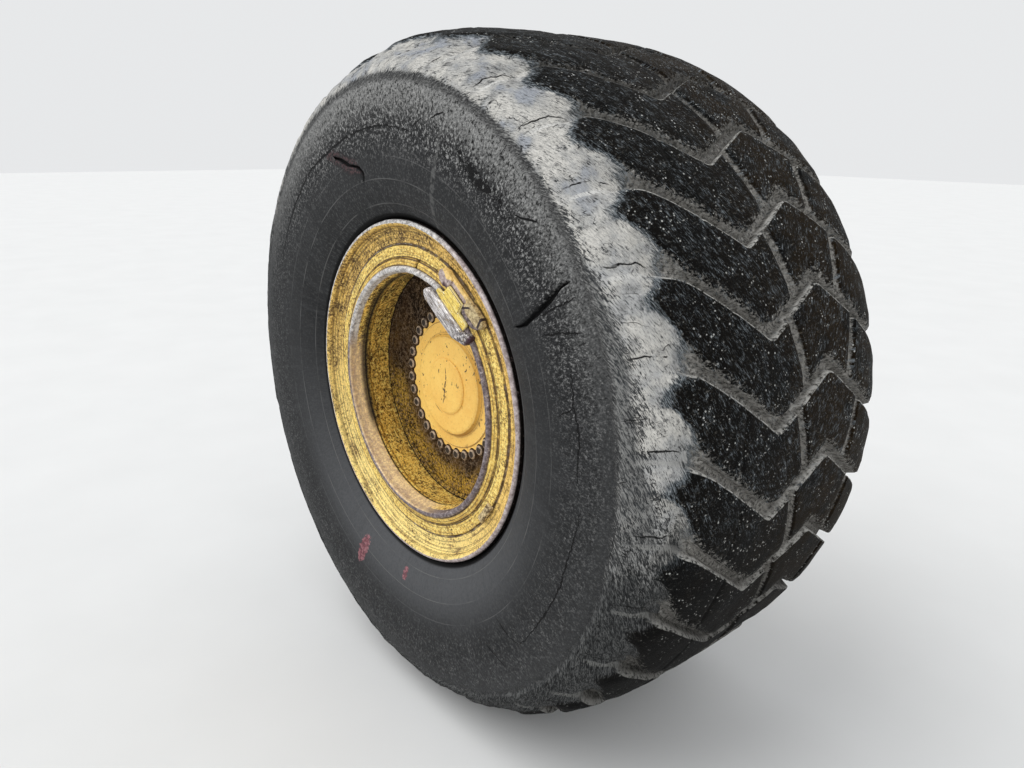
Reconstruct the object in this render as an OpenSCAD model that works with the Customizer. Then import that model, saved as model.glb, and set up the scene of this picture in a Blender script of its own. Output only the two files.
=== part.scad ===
// Wheel end of a dump truck's rear bogie: lugged tyre on a five-piece rim, hub turning on its spindle,
// disc brake and axle casing. The axle lies along Y, outboard is -Y, and the origin is on the casing flange.

/* [Tyre] */
// Diameter over the worn lugs
tyre_d = 1574; // [1500:1:1620]
// Width over the sidewalls
tyre_w = 770; // [740:1:800]
// Diameter of the circle where the sidewall is widest
tyre_widest_d = 1192; // [1140:1:1240]
// Depth of the tread grooves that are left
groove_depth = 24; // [12:1:40]
// Width of the tread grooves
groove_w = 18; // [10:1:26]
// Lugs round the tyre
lug_count = 30; // [24:1:34]
// Thickness of the sidewall
sidewall_t = 36; // [30:1:60]
// Thickness from the air space to the bottom of the grooves
crown_t = 42; // [36:1:60]
// Diameter of the ridge between sidewall and shoulder
ridge_d = 1374; // [1340:1:1400]
// Height of that ridge
ridge_h = 4; // [2:1:8]

/* [Rim] */
// Diameter of the bead seats, 25 inches
seat_d = 635; // [600:1:640]
// Width between the flanges, 24 inches
rim_w = 610; // [590:1:620]
// Height of the flanges over the bead seats, 3 inches
flange_h = 76; // [70:1:80]
// Distance that a flange's lip stands out from the bead's face
lip_reach = 45; // [42:1:50]
// Thickness of a flange's leg
flange_leg = 12; // [8:1:12]
// Length of a bead seat
bead_seat_l = 100; // [90:1:110]
// Wall of the rim base
base_wall = 15; // [10:1:20]
// Inner diameter of the gutter's rounded lip
gutter_lip_d = 556; // [552:1:560]

/* [Disc and bolts] */
// Depth of the wheel disc's face behind the outboard lips
disc_depth = 135; // [120:1:150]
// Thickness of the wheel disc
disc_t = 22; // [16:1:28]
// Diameter of the hole in the disc, which the hub's spigot fills
pilot_d = 300; // [280:1:304]
// Diameter of the circle of wheel bolts
bolt_pcd = 343; // [340:1:350]
// Number of wheel bolts
bolt_count = 32; // [24:1:34]
// Diameter of the wheel bolts
bolt_d = 16; // [12:1:18]
// Size of the bolt heads across their flats
bolt_af = 24; // [20:1:26]
// Height of the bolt heads
bolt_head_h = 10; // [8:1:14]

/* [Hub] */
// Diameter of the cover's scalloped rim
cover_d = 330; // [322:1:334]
// Thickness of that rim
cover_rim_t = 7; // [5:1:10]
// Diameter of the flat step inside the scallops
cover_plate_d = 303; // [280:1:308]
// Height of that step over the scalloped rim
cover_plate_h = 3; // [2:0.5:6]
// Diameter of the cover's raised middle
dome_d = 238; // [200:1:260]
// Height of the raised middle over the flat step
dome_h = 12; // [8:1:20]
// Diameter of the boss in the middle of the cover
boss_d = 136; // [100:1:150]
// Height of that boss
boss_h = 5; // [3:1:10]
// Diameter of the hub's wheel flange
hub_flange_d = 410; // [390:1:430]
// Thickness of the hub's wheel flange
hub_flange_t = 26; // [22:1:34]
// Diameter of the gear drum behind the wheel flange
drum_d = 340; // [310:1:360]
// Length of the gear drum behind the wheel flange
drum_l = 60; // [40:1:80]
// Diameter of the hub between drum and brake disc
waist_d = 262; // [240:1:280]
// Depth of the brake disc's seat behind the outboard lips
brake_depth = 420; // [410:1:440]

/* [Brake] */
// Diameter of the brake disc
brake_d = 450; // [430:1:460]
// Thickness of the brake disc
brake_t = 30; // [24:1:36]
// Bolts that hold the brake disc
brake_bolt_count = 12; // [8:1:16]
// Gap between a pad and the brake disc
pad_gap = 1.5; // [1:0.5:3]
// Thickness of a pad with its plate
pad_t = 16; // [12:1:18]
// Angle that a caliper covers
caliper_angle = 46; // [36:1:56]

/* [Axle] */
// Distance from the casing flange to the outboard lips
axle_reach = 800; // [780:1:840]
// Diameter of the spindle's journal in the hub
journal_d = 160; // [140:1:170]
// Diameter of the spindle flange
spindle_flange_d = 370; // [350:1:390]
// Outer diameter of the casing tube
casing_d = 250; // [220:1:270]
// Bore of the casing, for the half shaft
shaft_bore_d = 120; // [90:1:140]
// Diameter of the casing flange
mount_d = 420; // [400:1:440]
// Thickness of the casing flange
mount_t = 32; // [24:1:40]
// Distance from the casing flange's bolt circle to its edge
mount_edge = 25; // [20:1:32]
// Bolt holes in the casing flange
mount_count = 16; // [12:1:20]
// Diameter of those holes
mount_hole_d = 22; // [18:1:26]

/* [Fits] */
// Gap where pieces of one body seat on each other
seat_gap = 0.25; // [0.2:0.05:0.4]
// Radial gap between the journal and the hub
journal_gap = 0.05; // [0.02:0.01:0.1]
// Gap between the turning hub and what stands still beside it
running_gap = 6; // [5:1:8]

/* [Hidden] */
round_fn = 144;
small_fn = 32;
seat_r = seat_d/2;
lip_r = seat_r + flange_h;
rim_span = rim_w + 2*lip_reach;
mid = rim_span/2;
mount_pcd = mount_d - 2*mount_edge;
tyre_r = tyre_d/2;
widest_r = tyre_widest_d/2;
ridge_r = ridge_d/2;
disc_back = disc_depth + disc_t;

// Points of an arc about [x, y] of radius r, from angle a to angle b
function arc(x, y, r, a, b, n = 6) = [for (i = [0:n])
    let (t = a + (b - a)*i/n)
    [x + r*cos(t), y + r*sin(t)]];

// The same outline seen from the inboard side of the rim
function flip(outline) = [for (i = [len(outline) - 1:-1:0]) [outline[i][0], rim_span - outline[i][1]]];

function back_to_front(outline) = [for (i = [len(outline) - 1:-1:0]) outline[i]];

// Turns an outline of [radius, depth behind the outboard lips] about the axle
module turned(outline) {
    rotate([-90, 0, 0])
        rotate_extrude($fn = round_fn)
            polygon([for (p = outline) [p[0], p[1] - axle_reach]]);
}

// Round bar along the axle, from depth a to depth b
module bar(r, a, b, sides = small_fn) {
    translate([0, a - axle_reach, 0])
        rotate([-90, 0, 0])
            cylinder(r = r, h = b - a, $fn = sides);
}

// Children repeated n times on a circle of radius r, the first one at angle start from +X towards +Z
module ring_of(n, r, start = 0) {
    for (i = [0:n - 1])
        rotate([0, -start - i*360/n, 0])
            translate([r, 0, 0])
                children();
}

// Piece of a ring from radius r0 to r1 and depth a to b, over the angles from start to end
module ring_piece(r0, r1, a, b, start, end) {
    rotate([0, -start, 0])
        rotate([-90, 0, 0])
            mirror([0, 1, 0])
                translate([0, 0, a - axle_reach])
                    rotate_extrude(angle = end - start, $fn = round_fn)
                        translate([r0, 0])
                            square([r1 - r0, b - a]);
}

// Tyre
bulge_power = 3.4;
profile_steps = 16;
bead_w = 62;
toe_depth = lip_reach + bead_w;
bead_face_r = lip_r - 32;
half_w = tyre_w/2;

// Points of the sidewall's and crown's curve, a superellipse about the widest circle
function bulge(base_r, half, low, high, a, b, n) = [for (i = [0:n])
    let (t = a + (b - a)*i/n, u = pow(abs(sin(t)), 2/bulge_power), v = pow(abs(cos(t)), 2/bulge_power))
    [base_r + (t < 0 ? -low : high)*u, mid - half*v]];

outer_low = widest_r - seat_r - 12;
outer_high = tyre_r - widest_r;
outer_curve = bulge(widest_r, half_w, outer_low, outer_high, -48, 90, 2*profile_steps);
ridge_depth = mid - half_w*pow(1 - pow((ridge_r - widest_r)/outer_high, bulge_power), 1/bulge_power);
ridge_fade = 60;
// Outline of the outboard half of the tyre, from the bead's toe over the ridge to the crown
tyre_skin = concat([[seat_r + 1, toe_depth], [seat_r + 1, lip_reach + 10]],
    arc(seat_r + 11, lip_reach + 10.5, 10, 180, 270, 4),
    arc(bead_face_r, lip_reach - 32, 32.5, 90, 25, 4),
    [for (p = outer_curve) if (p[0] > lip_r + 4 && p[0] < ridge_r - 3) p],
    [[ridge_r, ridge_depth], [ridge_r + 1, ridge_depth - ridge_h]],
    [for (p = outer_curve) if (p[0] > ridge_r + 4)
        [p[0], p[1] - ridge_h*max(0, 1 - (p[0] - ridge_r)/ridge_fade)]]);
tyre_outside = concat(tyre_skin, flip(tyre_skin));
inner_high = tyre_r - groove_depth - crown_t - widest_r;
inner_low = widest_r - seat_r - 40;
tyre_liner = concat([[seat_r + 14, toe_depth + 12]],
    bulge(widest_r, half_w - sidewall_t, inner_low, inner_high, -60, 90, profile_steps));

// Columns: distance from the middle of the tread, angle about the axle
groove_path = [[-310, 8], [-84, -3.25], [84, 3.25], [310, -8]];
groove_phase = 9.6;
link_w = 15;
// Columns: distance from the middle of the tread where the link starts and ends, share of the groove's depth
link_table = [[-18, 8, 0.8], [-172, -190, 0.35], [178, 160, 0.35]];
shoulder_start = 262;
shoulder_slope = 20;
shoulder_l = 120;
shoulder_flare = 46;

// Straight stretch of groove between two points, with ends long enough to meet the next
module groove_stretch(p, q, w) {
    a = [-tyre_r*tan(p[1]), p[0]];
    b = [-tyre_r*tan(q[1]), q[0]];
    along = (b - a)/norm(b - a);
    side = [-along[1], along[0]]*w/2;
    over = along*w/4;
    polygon([a + side - over, a - side - over, b - side + over, b + side + over]);
}

function groove_angle(distance) = lookup(distance, groove_path);

// Groove across the tread, its floor flat
module cross_groove() {
    translate([tyre_r - groove_depth, mid - axle_reach, 0])
        rotate([0, 90, 0])
            linear_extrude(height = 2*groove_depth)
                for (i = [0:len(groove_path) - 2])
                    groove_stretch(groove_path[i], groove_path[i + 1], groove_w);
}

// Shallower groove that joins one cross groove to the next
module link_groove(link) {
    translate([tyre_r - groove_depth*link[2], mid - axle_reach, 0])
        rotate([0, 90, 0])
            linear_extrude(height = 2*groove_depth)
                groove_stretch([link[0], groove_angle(link[0])],
                    [link[1], groove_angle(link[1]) - 360/lug_count], link_w);
}

// End of a cross groove, which widens and slopes down over the shoulder; side is -1 outboard, 1 inboard
module shoulder_groove(side) {
    start = -tyre_r*tan(groove_angle(side*shoulder_start));
    lean = side*shoulder_l*0.12;
    translate([tyre_r - groove_depth - 13, mid + side*shoulder_start - axle_reach, 0])
        rotate([0, 0, side*shoulder_slope])
            rotate([0, 90, 0])
                linear_extrude(height = 3*groove_depth)
                    polygon([[start - groove_w*0.6, -side*6], [start + groove_w*0.6, -side*6],
                        [start + lean + shoulder_flare/2, side*shoulder_l],
                        [start + lean - shoulder_flare/2, side*shoulder_l]]);
}

module tread_grooves() {
    for (i = [0:lug_count - 1])
        rotate([0, -groove_phase - i*360/lug_count, 0]) {
            cross_groove();
            for (link = link_table)
                link_groove(link);
            for (side = [-1, 1])
                shoulder_groove(side);
        }
}

module tyre() {
    color("#2b2c2d")
        difference() {
            turned(concat(tyre_outside, back_to_front(flip(tyre_liner)), back_to_front(tyre_liner)));
            tread_grooves();
        }
}

// Rim
base_r = seat_r - 16;
barrel_r = base_r - base_wall;
lip_round = 7;
gutter_r = gutter_lip_d/2 + lip_round;
gutter_nose = 8;
gutter_floor_r = gutter_r + 1;
throat_r = gutter_r - 14;
upstand_r = lip_r - 55.3;
flange_face = lip_reach - flange_leg;
band_face = 22;
ring_back = band_face + 18;

// Outline of a loose flange, seen as the outboard one
function flange_outline() = concat([[seat_r + 1, lip_reach], [seat_r + 1, flange_face + 3],
    [seat_r + 4, flange_face], [upstand_r + seat_gap, flange_face], [upstand_r + seat_gap, lip_reach - 20],
    [lip_r - 34, lip_reach - 20.5], [lip_r - 25, lip_reach - 22.5], [lip_r - 20, 19], [lip_r - 16, 12]],
    arc(lip_r - 7, 7, 7, 190, 360, 8),
    arc(bead_face_r, lip_reach - 32, 32, 0, 90, 6));

module outer_flange() {
    color("#b98a2c")
        turned(flange_outline());
}

module inner_flange() {
    color("#b98a2c")
        turned(flip(flange_outline()));
}

module rim_base() {
    inner_seat = rim_span - lip_reach - bead_seat_l - 5;
    color("#a87a28")
        difference() {
            turned(concat(arc(gutter_r, gutter_nose + lip_round, lip_round, 180, 360, 8),
                [[gutter_r + lip_round, band_face - 4], [gutter_floor_r, band_face - 3],
                [gutter_floor_r, ring_back], [base_r, ring_back + 10], [base_r, inner_seat],
                [seat_r, inner_seat + 16], [seat_r, rim_span - flange_face + seat_gap],
                [upstand_r, rim_span - flange_face + seat_gap], [upstand_r, rim_span - flange_face + 9],
                [upstand_r - 3, rim_span - band_face], [seat_r - 18, rim_span - band_face],
                [seat_r - 18, inner_seat + 20], [barrel_r, inner_seat], [barrel_r, disc_depth],
                [throat_r, 50], [throat_r, 38]]));
            key_notch();
        }
}

module bead_seat_band() {
    color("#c4902a")
        turned([[seat_r - 7, band_face], [upstand_r - 2, band_face], [upstand_r, band_face + 2.5],
            [upstand_r, flange_face - seat_gap], [seat_r + 2, flange_face - seat_gap],
            [seat_r, flange_face + 2], [seat_r, lip_reach + bead_seat_l],
            [base_r + seat_gap, lip_reach + bead_seat_l], [base_r + seat_gap, ring_back + 8],
            [seat_r - 7, ring_back + 2]]);
}

split_angle = 84.5;
split_w = 9;

module lock_ring() {
    color("#c4902a")
        difference() {
            turned([[gutter_floor_r + seat_gap, band_face - 2], [gutter_floor_r + seat_gap, ring_back - 2],
                [base_r - 4, ring_back + 4], [seat_r - 7 - seat_gap, ring_back + 0.5],
                [seat_r - 7 - seat_gap, band_face], [seat_r - 16, 15], [gutter_r + lip_round + seat_gap, 15],
                [gutter_r + lip_round + seat_gap, band_face - 2.5]]);
            rotate([0, -split_angle, 0])
                translate([seat_r - 40, -axle_reach, -split_w/2])
                    cube([60, ring_back + 20, split_w]);
        }
}

// Driver key, which locks the band to the base through the lock ring, with its bar across the gutter's lip
key_angle = 54;
key_l = 113;
key_face = 4;
key_low = gutter_lip_d/2;
key_head = seat_r - 1.5;
bar_l = 176;
bar_h = 39;
bar_t = 24;
bar_low = key_low - bar_h - 0.5;

// Children drawn in a plane of [distance from the axle, distance along the key] and raised from depth a to b
module key_plate(a, b) {
    rotate([0, -key_angle, 0])
        translate([0, a - axle_reach, 0])
            rotate([-90, 0, 0])
                linear_extrude(height = b - a)
                    mirror([0, 1, 0])
                        children();
}

module driver_key() {
    ring_front = 15 - seat_gap;
    color("#d8b23c") {
        key_plate(key_face, ring_front)
            translate([key_low, -key_l/2])
                square([key_head - key_low, key_l]);
        key_plate(ring_front - 1, band_face - seat_gap)
            translate([seat_r - 6, -key_l/2])
                square([5.5, key_l]);
    }
}

// Lugs welded to the band at the key's ends and the strip between them, along the key's head
lug_low = key_head + 1.3;
lug_face = 6.5;
strip_face = 12.5;
strip_w = 15.7;
lug_side = key_l/2 + 0.3;
// Points of [distance from the axle, distance along the key]
upper_lug = [[lug_low, 32], [seat_r + 18.5, 30], [seat_r + 20.5, 52], [seat_r + 14.5, 68],
    [seat_r + 4.5, 74.5], [seat_r - 5.5, 74], [seat_r - 9.5, 66], [seat_r - 9.5, lug_side],
    [lug_low, lug_side]];
lower_lug = [[lug_low, -30], [lug_low, -lug_side], [seat_r - 8.5, -lug_side], [seat_r - 8.5, -74],
    [seat_r - 5.5, -86], [seat_r + 0.5, -96], [seat_r + 12.5, -97], [seat_r + 19.5, -86],
    [seat_r + 21.5, -50], [seat_r + 15.5, -33]];

module key_lugs() {
    color("#8a8078")
        union() {
            key_plate(strip_face, band_face - seat_gap)
                translate([lug_low, -40])
                    square([strip_w, 80]);
            key_plate(lug_face, band_face - seat_gap)
                polygon(upper_lug);
            key_plate(lug_face, band_face - seat_gap)
                polygon(lower_lug);
        }
}

module key_bar() {
    color("#8f8c88")
        key_plate(0.5, bar_t)
            polygon([[bar_low, 70], [bar_low + 8, 84], [bar_low + 18, bar_l/2], [bar_low + 30, 83],
                [bar_low + bar_h, 66], [bar_low + bar_h, -68], [bar_low + 32, -84],
                [bar_low + 20, -bar_l/2], [bar_low + 9, -86], [bar_low, -74]]);
}

// Notch for the bar in the gutter's lip
module key_notch() {
    key_plate(-1, bar_t + seat_gap)
        translate([bar_low - 1, -bar_l/2 - seat_gap])
            square([gutter_floor_r + 8 - bar_low, bar_l + 2*seat_gap]);
}

module wheel_disc() {
    hole_r = bolt_d/2 + 0.75;
    color("#3a3026")
        difference() {
            turned([[pilot_d/2, disc_depth], [barrel_r - 12, disc_depth], [barrel_r - 2.5, disc_depth - 10],
                [barrel_r - seat_gap, disc_depth + 1], [barrel_r - seat_gap, disc_back + 10],
                [barrel_r - 10, disc_back], [pilot_d/2, disc_back]]);
            ring_of(bolt_count, bolt_pcd/2, bolt_phase)
                bar(hole_r, disc_depth - 1, disc_back + 1);
        }
}

// Wheel bolts
bolt_phase = 5.85;
bolt_grip = disc_t + hub_flange_t - 4;

module wheel_bolts() {
    color("#6f675e")
        ring_of(bolt_count, bolt_pcd/2, bolt_phase) {
            bar(bolt_af/2/cos(30), disc_depth - bolt_head_h, disc_depth, 6);
            bar(bolt_d/2, disc_depth - 1, disc_depth + bolt_grip);
        }
}

bore_end = 250;
hub_end = brake_depth;

module hub() {
    flange_back = disc_back + hub_flange_t;
    drum_end = flange_back + drum_l;
    brake_seat = hub_end - 20;
    color("#b98f32")
        difference() {
            turned([[0, disc_depth], [pilot_d/2 - seat_gap, disc_depth], [pilot_d/2 - seat_gap, disc_back],
                [hub_flange_d/2, disc_back], [hub_flange_d/2, flange_back - 4],
                [hub_flange_d/2 - 4, flange_back], [drum_d/2 + 8, flange_back], [drum_d/2, flange_back + 8],
                [drum_d/2, drum_end], [drum_d/2 - 8, drum_end + 8], [waist_d/2 + 10, drum_end + 18],
                [waist_d/2, drum_end + 30], [waist_d/2, brake_seat - 14], [waist_d/2 + 8, brake_seat - 2],
                [drum_d/2 - 6, brake_seat], [drum_d/2 - 6, hub_end], [journal_d/2 + 24, hub_end],
                [journal_d/2 + journal_gap, hub_end - 6], [journal_d/2 + journal_gap, bore_end],
                [0, bore_end]]);
            ring_of(bolt_count, bolt_pcd/2, bolt_phase)
                bar(bolt_d/2 + seat_gap, disc_back - 1, disc_depth + bolt_grip + 2);
        }
}

cover_face = disc_depth - cover_rim_t;
plate_face = cover_face - cover_plate_h;
dome_face = plate_face - dome_h;

module hub_cover() {
    color("#d9a53a")
        difference() {
            turned([[0, disc_depth], [0, dome_face], [dome_d/2 - 7, dome_face], [dome_d/2 - 2, dome_face + 2],
                [dome_d/2, dome_face + 6], [dome_d/2 + 3, plate_face - 4], [dome_d/2 + 8, plate_face],
                [cover_plate_d/2 - 1, plate_face], [cover_plate_d/2, plate_face + 1],
                [cover_plate_d/2, cover_face], [cover_d/2 - 1, cover_face], [cover_d/2, cover_face + 1],
                [cover_d/2, disc_depth]]);
            ring_of(bolt_count, bolt_pcd/2, bolt_phase)
                bar(bolt_af/2/cos(30) + 1.2, cover_face - 1, disc_depth + 1);
        }
}

module hub_boss() {
    front = dome_face - boss_h;
    color("#d9a53a")
        turned([[0, dome_face], [0, front], [boss_d/2 - 5, front], [boss_d/2 - 1, front + 2],
            [boss_d/2, dome_face]]);
}

valve_angle = 15;
valve_l = 74;
valve_cap_l = 14;

module valve() {
    color("#8a7a50")
        ring_of(1, barrel_r - 24, valve_angle) {
            bar(7, disc_depth - valve_l + valve_cap_l, disc_depth);
            bar(9, disc_depth - valve_l, disc_depth - valve_l + valve_cap_l);
            bar(12.5, disc_depth - 9, disc_depth, 6);
        }
}

// Brake
brake_bore_r = journal_d/2 + 30;
disc_bolt_pcd = drum_d - 50;
disc_bolt_r = 7;
// Cooling vanes in the groove round the brake disc
vane_count = 36;
vane_t = 7;

module brake_disc() {
    color("#77726c") {
        difference() {
            turned([[brake_bore_r, brake_depth], [brake_d/2, brake_depth], [brake_d/2, brake_depth + 10],
                [brake_d/2 - 20, brake_depth + 10], [brake_d/2 - 20, brake_depth + brake_t - 10],
                [brake_d/2, brake_depth + brake_t - 10], [brake_d/2, brake_depth + brake_t],
                [brake_bore_r, brake_depth + brake_t]]);
            ring_of(brake_bolt_count, disc_bolt_pcd/2)
                bar(disc_bolt_r + seat_gap, brake_depth - 1, brake_depth + brake_t + 1);
        }
        ring_of(vane_count, brake_d/2 - 12)
            translate([-9, brake_depth - axle_reach + 9, -vane_t/2])
                cube([18, brake_t - 18, vane_t]);
    }
}

module brake_disc_bolts() {
    back = brake_depth + brake_t;
    color("#6f675e")
        ring_of(brake_bolt_count, disc_bolt_pcd/2) {
            bar(disc_bolt_r*1.7, back, back + 8, 6);
            bar(disc_bolt_r, brake_depth + 0.2, back + 1);
        }
}

// Axle
plate_t = 24;
spindle_seat = brake_depth + brake_t + 60;
flange_front = spindle_seat - plate_t;
casing_end = spindle_seat + plate_t;
spindle_bolt_count = 16;
mount_root = axle_reach - mount_t;
spindle_bolt_pcd = spindle_flange_d - 44;

module spindle() {
    color("#8c8880")
        difference() {
            turned([[shaft_bore_d/2, bore_end + running_gap], [journal_d/2 - 2, bore_end + running_gap],
                [journal_d/2, bore_end + running_gap + 2], [journal_d/2, hub_end + running_gap],
                [journal_d/2 + 12, hub_end + running_gap + 4], [journal_d/2 + 18, flange_front - 16],
                [spindle_flange_d/2 - 60, flange_front - 8], [spindle_flange_d/2 - 50, flange_front],
                [spindle_flange_d/2, flange_front], [spindle_flange_d/2, spindle_seat],
                [shaft_bore_d/2, spindle_seat]]);
            ring_of(spindle_bolt_count, spindle_bolt_pcd/2)
                bar(8 + seat_gap, flange_front - 1, spindle_seat + 1);
        }
}

// Ribs between the casing's tube and its flange, midway between the flange's bolts
rib_count = 8;
rib_t = 14;
rib_l = 74;
rib_r = mount_pcd/2 - 19;

module casing_ribs() {
    translate([0, mount_root - axle_reach, 0])
        ring_of(rib_count, 0)
            linear_extrude(height = rib_t, center = true)
                polygon([[casing_d/2 - 3, -rib_l], [casing_d/2 + 4, -rib_l], [rib_r, -8], [rib_r, 0],
                    [casing_d/2 - 3, 0]]);
}

module casing() {
    color("#c09030") {
        casing_ribs();
        difference() {
            turned([[shaft_bore_d/2, casing_end], [spindle_flange_d/2, casing_end],
                [spindle_flange_d/2, casing_end + plate_t], [casing_d/2 + 14, casing_end + plate_t + 6],
                [casing_d/2, casing_end + plate_t + 28], [casing_d/2, mount_root - 40],
                [casing_d/2 + 16, mount_root - 12], [casing_d/2 + 24, mount_root],
                [shaft_bore_d/2, mount_root]]);
            ring_of(spindle_bolt_count, spindle_bolt_pcd/2)
                bar(8 + seat_gap, casing_end - 1, casing_end + plate_t - 2);
        }
    }
}

module casing_flange() {
    color("#c09030")
        difference() {
            turned([[shaft_bore_d/2, mount_root], [mount_d/2 - 3, mount_root], [mount_d/2, mount_root + 3],
                [mount_d/2, axle_reach - 2], [mount_d/2 - 2, axle_reach], [shaft_bore_d/2, axle_reach]]);
            ring_of(mount_count, mount_pcd/2, 180/mount_count)
                bar(mount_hole_d/2, mount_root - 1, axle_reach + 1);
        }
}

module spindle_bolts() {
    color("#6f675e")
        ring_of(spindle_bolt_count, spindle_bolt_pcd/2) {
            bar(13.8, flange_front - 10, flange_front, 6);
            bar(8, flange_front - 1, casing_end + 18);
        }
}

// Brake carrier: a plate between spindle flange and casing with an arm for each caliper
carrier_r = brake_d/2 + 36;
arm_w = 150;
// Columns: distance from the axle along the arm, height over the arm's middle
carrier_bolts = [[208, 52], [208, -52], [240, 24], [240, -24]];

module brake_carrier() {
    color("#4a463f") {
        for (angle = [0, 180], at = carrier_bolts)
            rotate([0, -angle, 0])
                translate([at[0], 0, at[1]])
                    bar(13.8, casing_end - 1, casing_end + 10, 6);
        translate([0, spindle_seat - axle_reach, 0])
            rotate([-90, 0, 0])
                difference() {
                    linear_extrude(height = plate_t)
                        union() {
                            circle(r = spindle_flange_d/2, $fn = round_fn);
                            square([2*carrier_r, arm_w], center = true);
                        }
                    translate([0, 0, -1])
                        cylinder(r = shaft_bore_d/2, h = plate_t + 2, $fn = round_fn);
                    for (i = [0:spindle_bolt_count - 1])
                        rotate(i*360/spindle_bolt_count)
                            translate([spindle_bolt_pcd/2, 0, -1])
                                cylinder(r = 8 + seat_gap, h = plate_t + 2, $fn = small_fn);
                }
    }
}

caliper_r0 = spindle_flange_d/2 + 4;
pad_r0 = caliper_r0 + 1;
pad_r1 = brake_d/2 - 4;
caliper_r1 = brake_d/2 + 40;
caliper_wall = 26;
pads_front = brake_depth - pad_gap - pad_t;
pads_back = brake_depth + brake_t + pad_gap + pad_t;
// Piston caps and bolts on a caliper. Columns: angle from its middle, distance from the axle, radius, height
piston_table = [[-11, 218, 19, 8], [11, 218, 19, 8], [-19.5, 252, 8, 7], [0, 252, 8, 7], [19.5, 252, 8, 7]];

// Caliper bridging the edge of the brake disc, centred at an angle
module caliper(angle) {
    a = angle - caliper_angle/2;
    b = angle + caliper_angle/2;
    front = pads_front - caliper_wall;
    color("#57524a") {
        rotate([0, -angle, 0])
            for (at = piston_table)
                rotate([0, at[0], 0])
                    translate([at[1], 0, 0])
                        bar(at[2], front - at[3], front + 1);
        difference() {
            ring_piece(caliper_r0, caliper_r1, front, spindle_seat, a, b);
            ring_piece(caliper_r0 - 10, brake_d/2 + 8, pads_front, pads_back, a - 5, b + 5);
        }
    }
}

module caliper_front() {
    caliper(0);
}

module caliper_rear() {
    caliper(180);
}

module brake_pads() {
    inset = 5;
    color("#3b3835")
        for (angle = [0, 180], face = [pads_front, pads_back - pad_t])
            ring_piece(pad_r0, pad_r1, face, face + pad_t,
                angle - caliper_angle/2 + inset, angle + caliper_angle/2 - inset);
}

tyre();
rim_base();
outer_flange();
inner_flange();
bead_seat_band();
lock_ring();
driver_key();
key_lugs();
key_bar();
wheel_disc();
wheel_bolts();
hub();
hub_cover();
hub_boss();
valve();
brake_disc();
brake_disc_bolts();
spindle();
casing();
casing_flange();
spindle_bolts();
brake_carrier();
caliper_front();
caliper_rear();
brake_pads();
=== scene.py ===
"""Looks of a dump truck's wheel end: worn tyre, rusted five-piece rim, planetary hub, brake and casing."""
from itertools import product
from math import cos, pi, radians, sin

import bmesh
import bpy
import numpy as np
from mathutils import Matrix, Vector


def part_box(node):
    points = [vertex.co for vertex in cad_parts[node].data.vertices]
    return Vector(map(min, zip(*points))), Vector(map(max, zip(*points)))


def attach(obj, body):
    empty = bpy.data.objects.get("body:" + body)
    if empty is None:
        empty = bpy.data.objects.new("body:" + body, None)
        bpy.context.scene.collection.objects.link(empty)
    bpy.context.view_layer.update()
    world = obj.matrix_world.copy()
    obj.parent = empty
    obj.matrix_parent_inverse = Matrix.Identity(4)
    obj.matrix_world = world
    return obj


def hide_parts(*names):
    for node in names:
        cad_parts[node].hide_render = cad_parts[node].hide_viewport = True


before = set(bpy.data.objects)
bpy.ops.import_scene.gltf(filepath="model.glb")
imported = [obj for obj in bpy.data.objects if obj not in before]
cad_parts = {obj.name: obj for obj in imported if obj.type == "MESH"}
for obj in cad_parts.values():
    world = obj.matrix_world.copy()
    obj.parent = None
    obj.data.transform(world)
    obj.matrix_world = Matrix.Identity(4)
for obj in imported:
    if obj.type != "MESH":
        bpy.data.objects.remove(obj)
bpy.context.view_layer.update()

# The axle lies along Y and outboard is -Y. Depths are measured inboard from the outboard flange's lip.
LIP_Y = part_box("outer_flange")[0].y
RIM_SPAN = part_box("inner_flange")[1].y - LIP_Y
MID = RIM_SPAN / 2
LIP_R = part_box("outer_flange")[1].x
SEAT_R = LIP_R - 0.076
TYRE_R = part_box("tyre")[1].x
TYRE_HALF_W = (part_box("tyre")[1].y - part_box("tyre")[0].y) / 2
DISC_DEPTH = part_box("hub_cover")[1].y - LIP_Y
COVER_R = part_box("hub_cover")[1].x
BOSS_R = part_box("hub_boss")[1].x
FLOOR_Z = -TYRE_R

# Tyre
WIDEST_R = 0.596
BULGE_POWER = 3.4
RIDGE_R = 0.687
RIDGE_H = 0.004
LUGS = 30
GROOVE_DEPTH = 0.024
GROOVE_W = 0.018
GROOVE_PHASE = 9.6
# Distance from the middle of the tread in metres, angle about the axle in degrees
GROOVE_PATH = ((-0.36, 8.9), (-0.305, 8.3), (-0.27, 6.9), (-0.084, -3.25), (0.084, 3.25), (0.31, -8.0),
               (0.36, -9.2))
# Where each link between two grooves starts and ends, its width and its share of the groove's depth
LINKS = ((-0.020, 0.010, 0.016, 0.75), (-0.172, -0.190, 0.005, 0.08), (0.198, 0.158, 0.013, 0.45))
# Radii of the two raised lines on the lower sidewall
RAISED_R = (0.4277, 0.4790)
# Each cut in the sidewall: its angle, width and depth, then radii with degrees aside from that angle
CUTS = ((30.9, 0.0180, 0.013,
         ((0.472, -0.4), (0.490, -1.1), (0.511, -1.3), (0.543, -0.7), (0.576, -0.1), (0.608, 0.6),
          (0.629, 1.0), (0.655, 0.9))),
        (107.0, 0.0320, 0.010,
         ((0.474, -4.2), (0.497, -5.0), (0.514, -2.9), (0.526, 1.2), (0.551, 4.7), (0.577, 9.8))))
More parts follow.
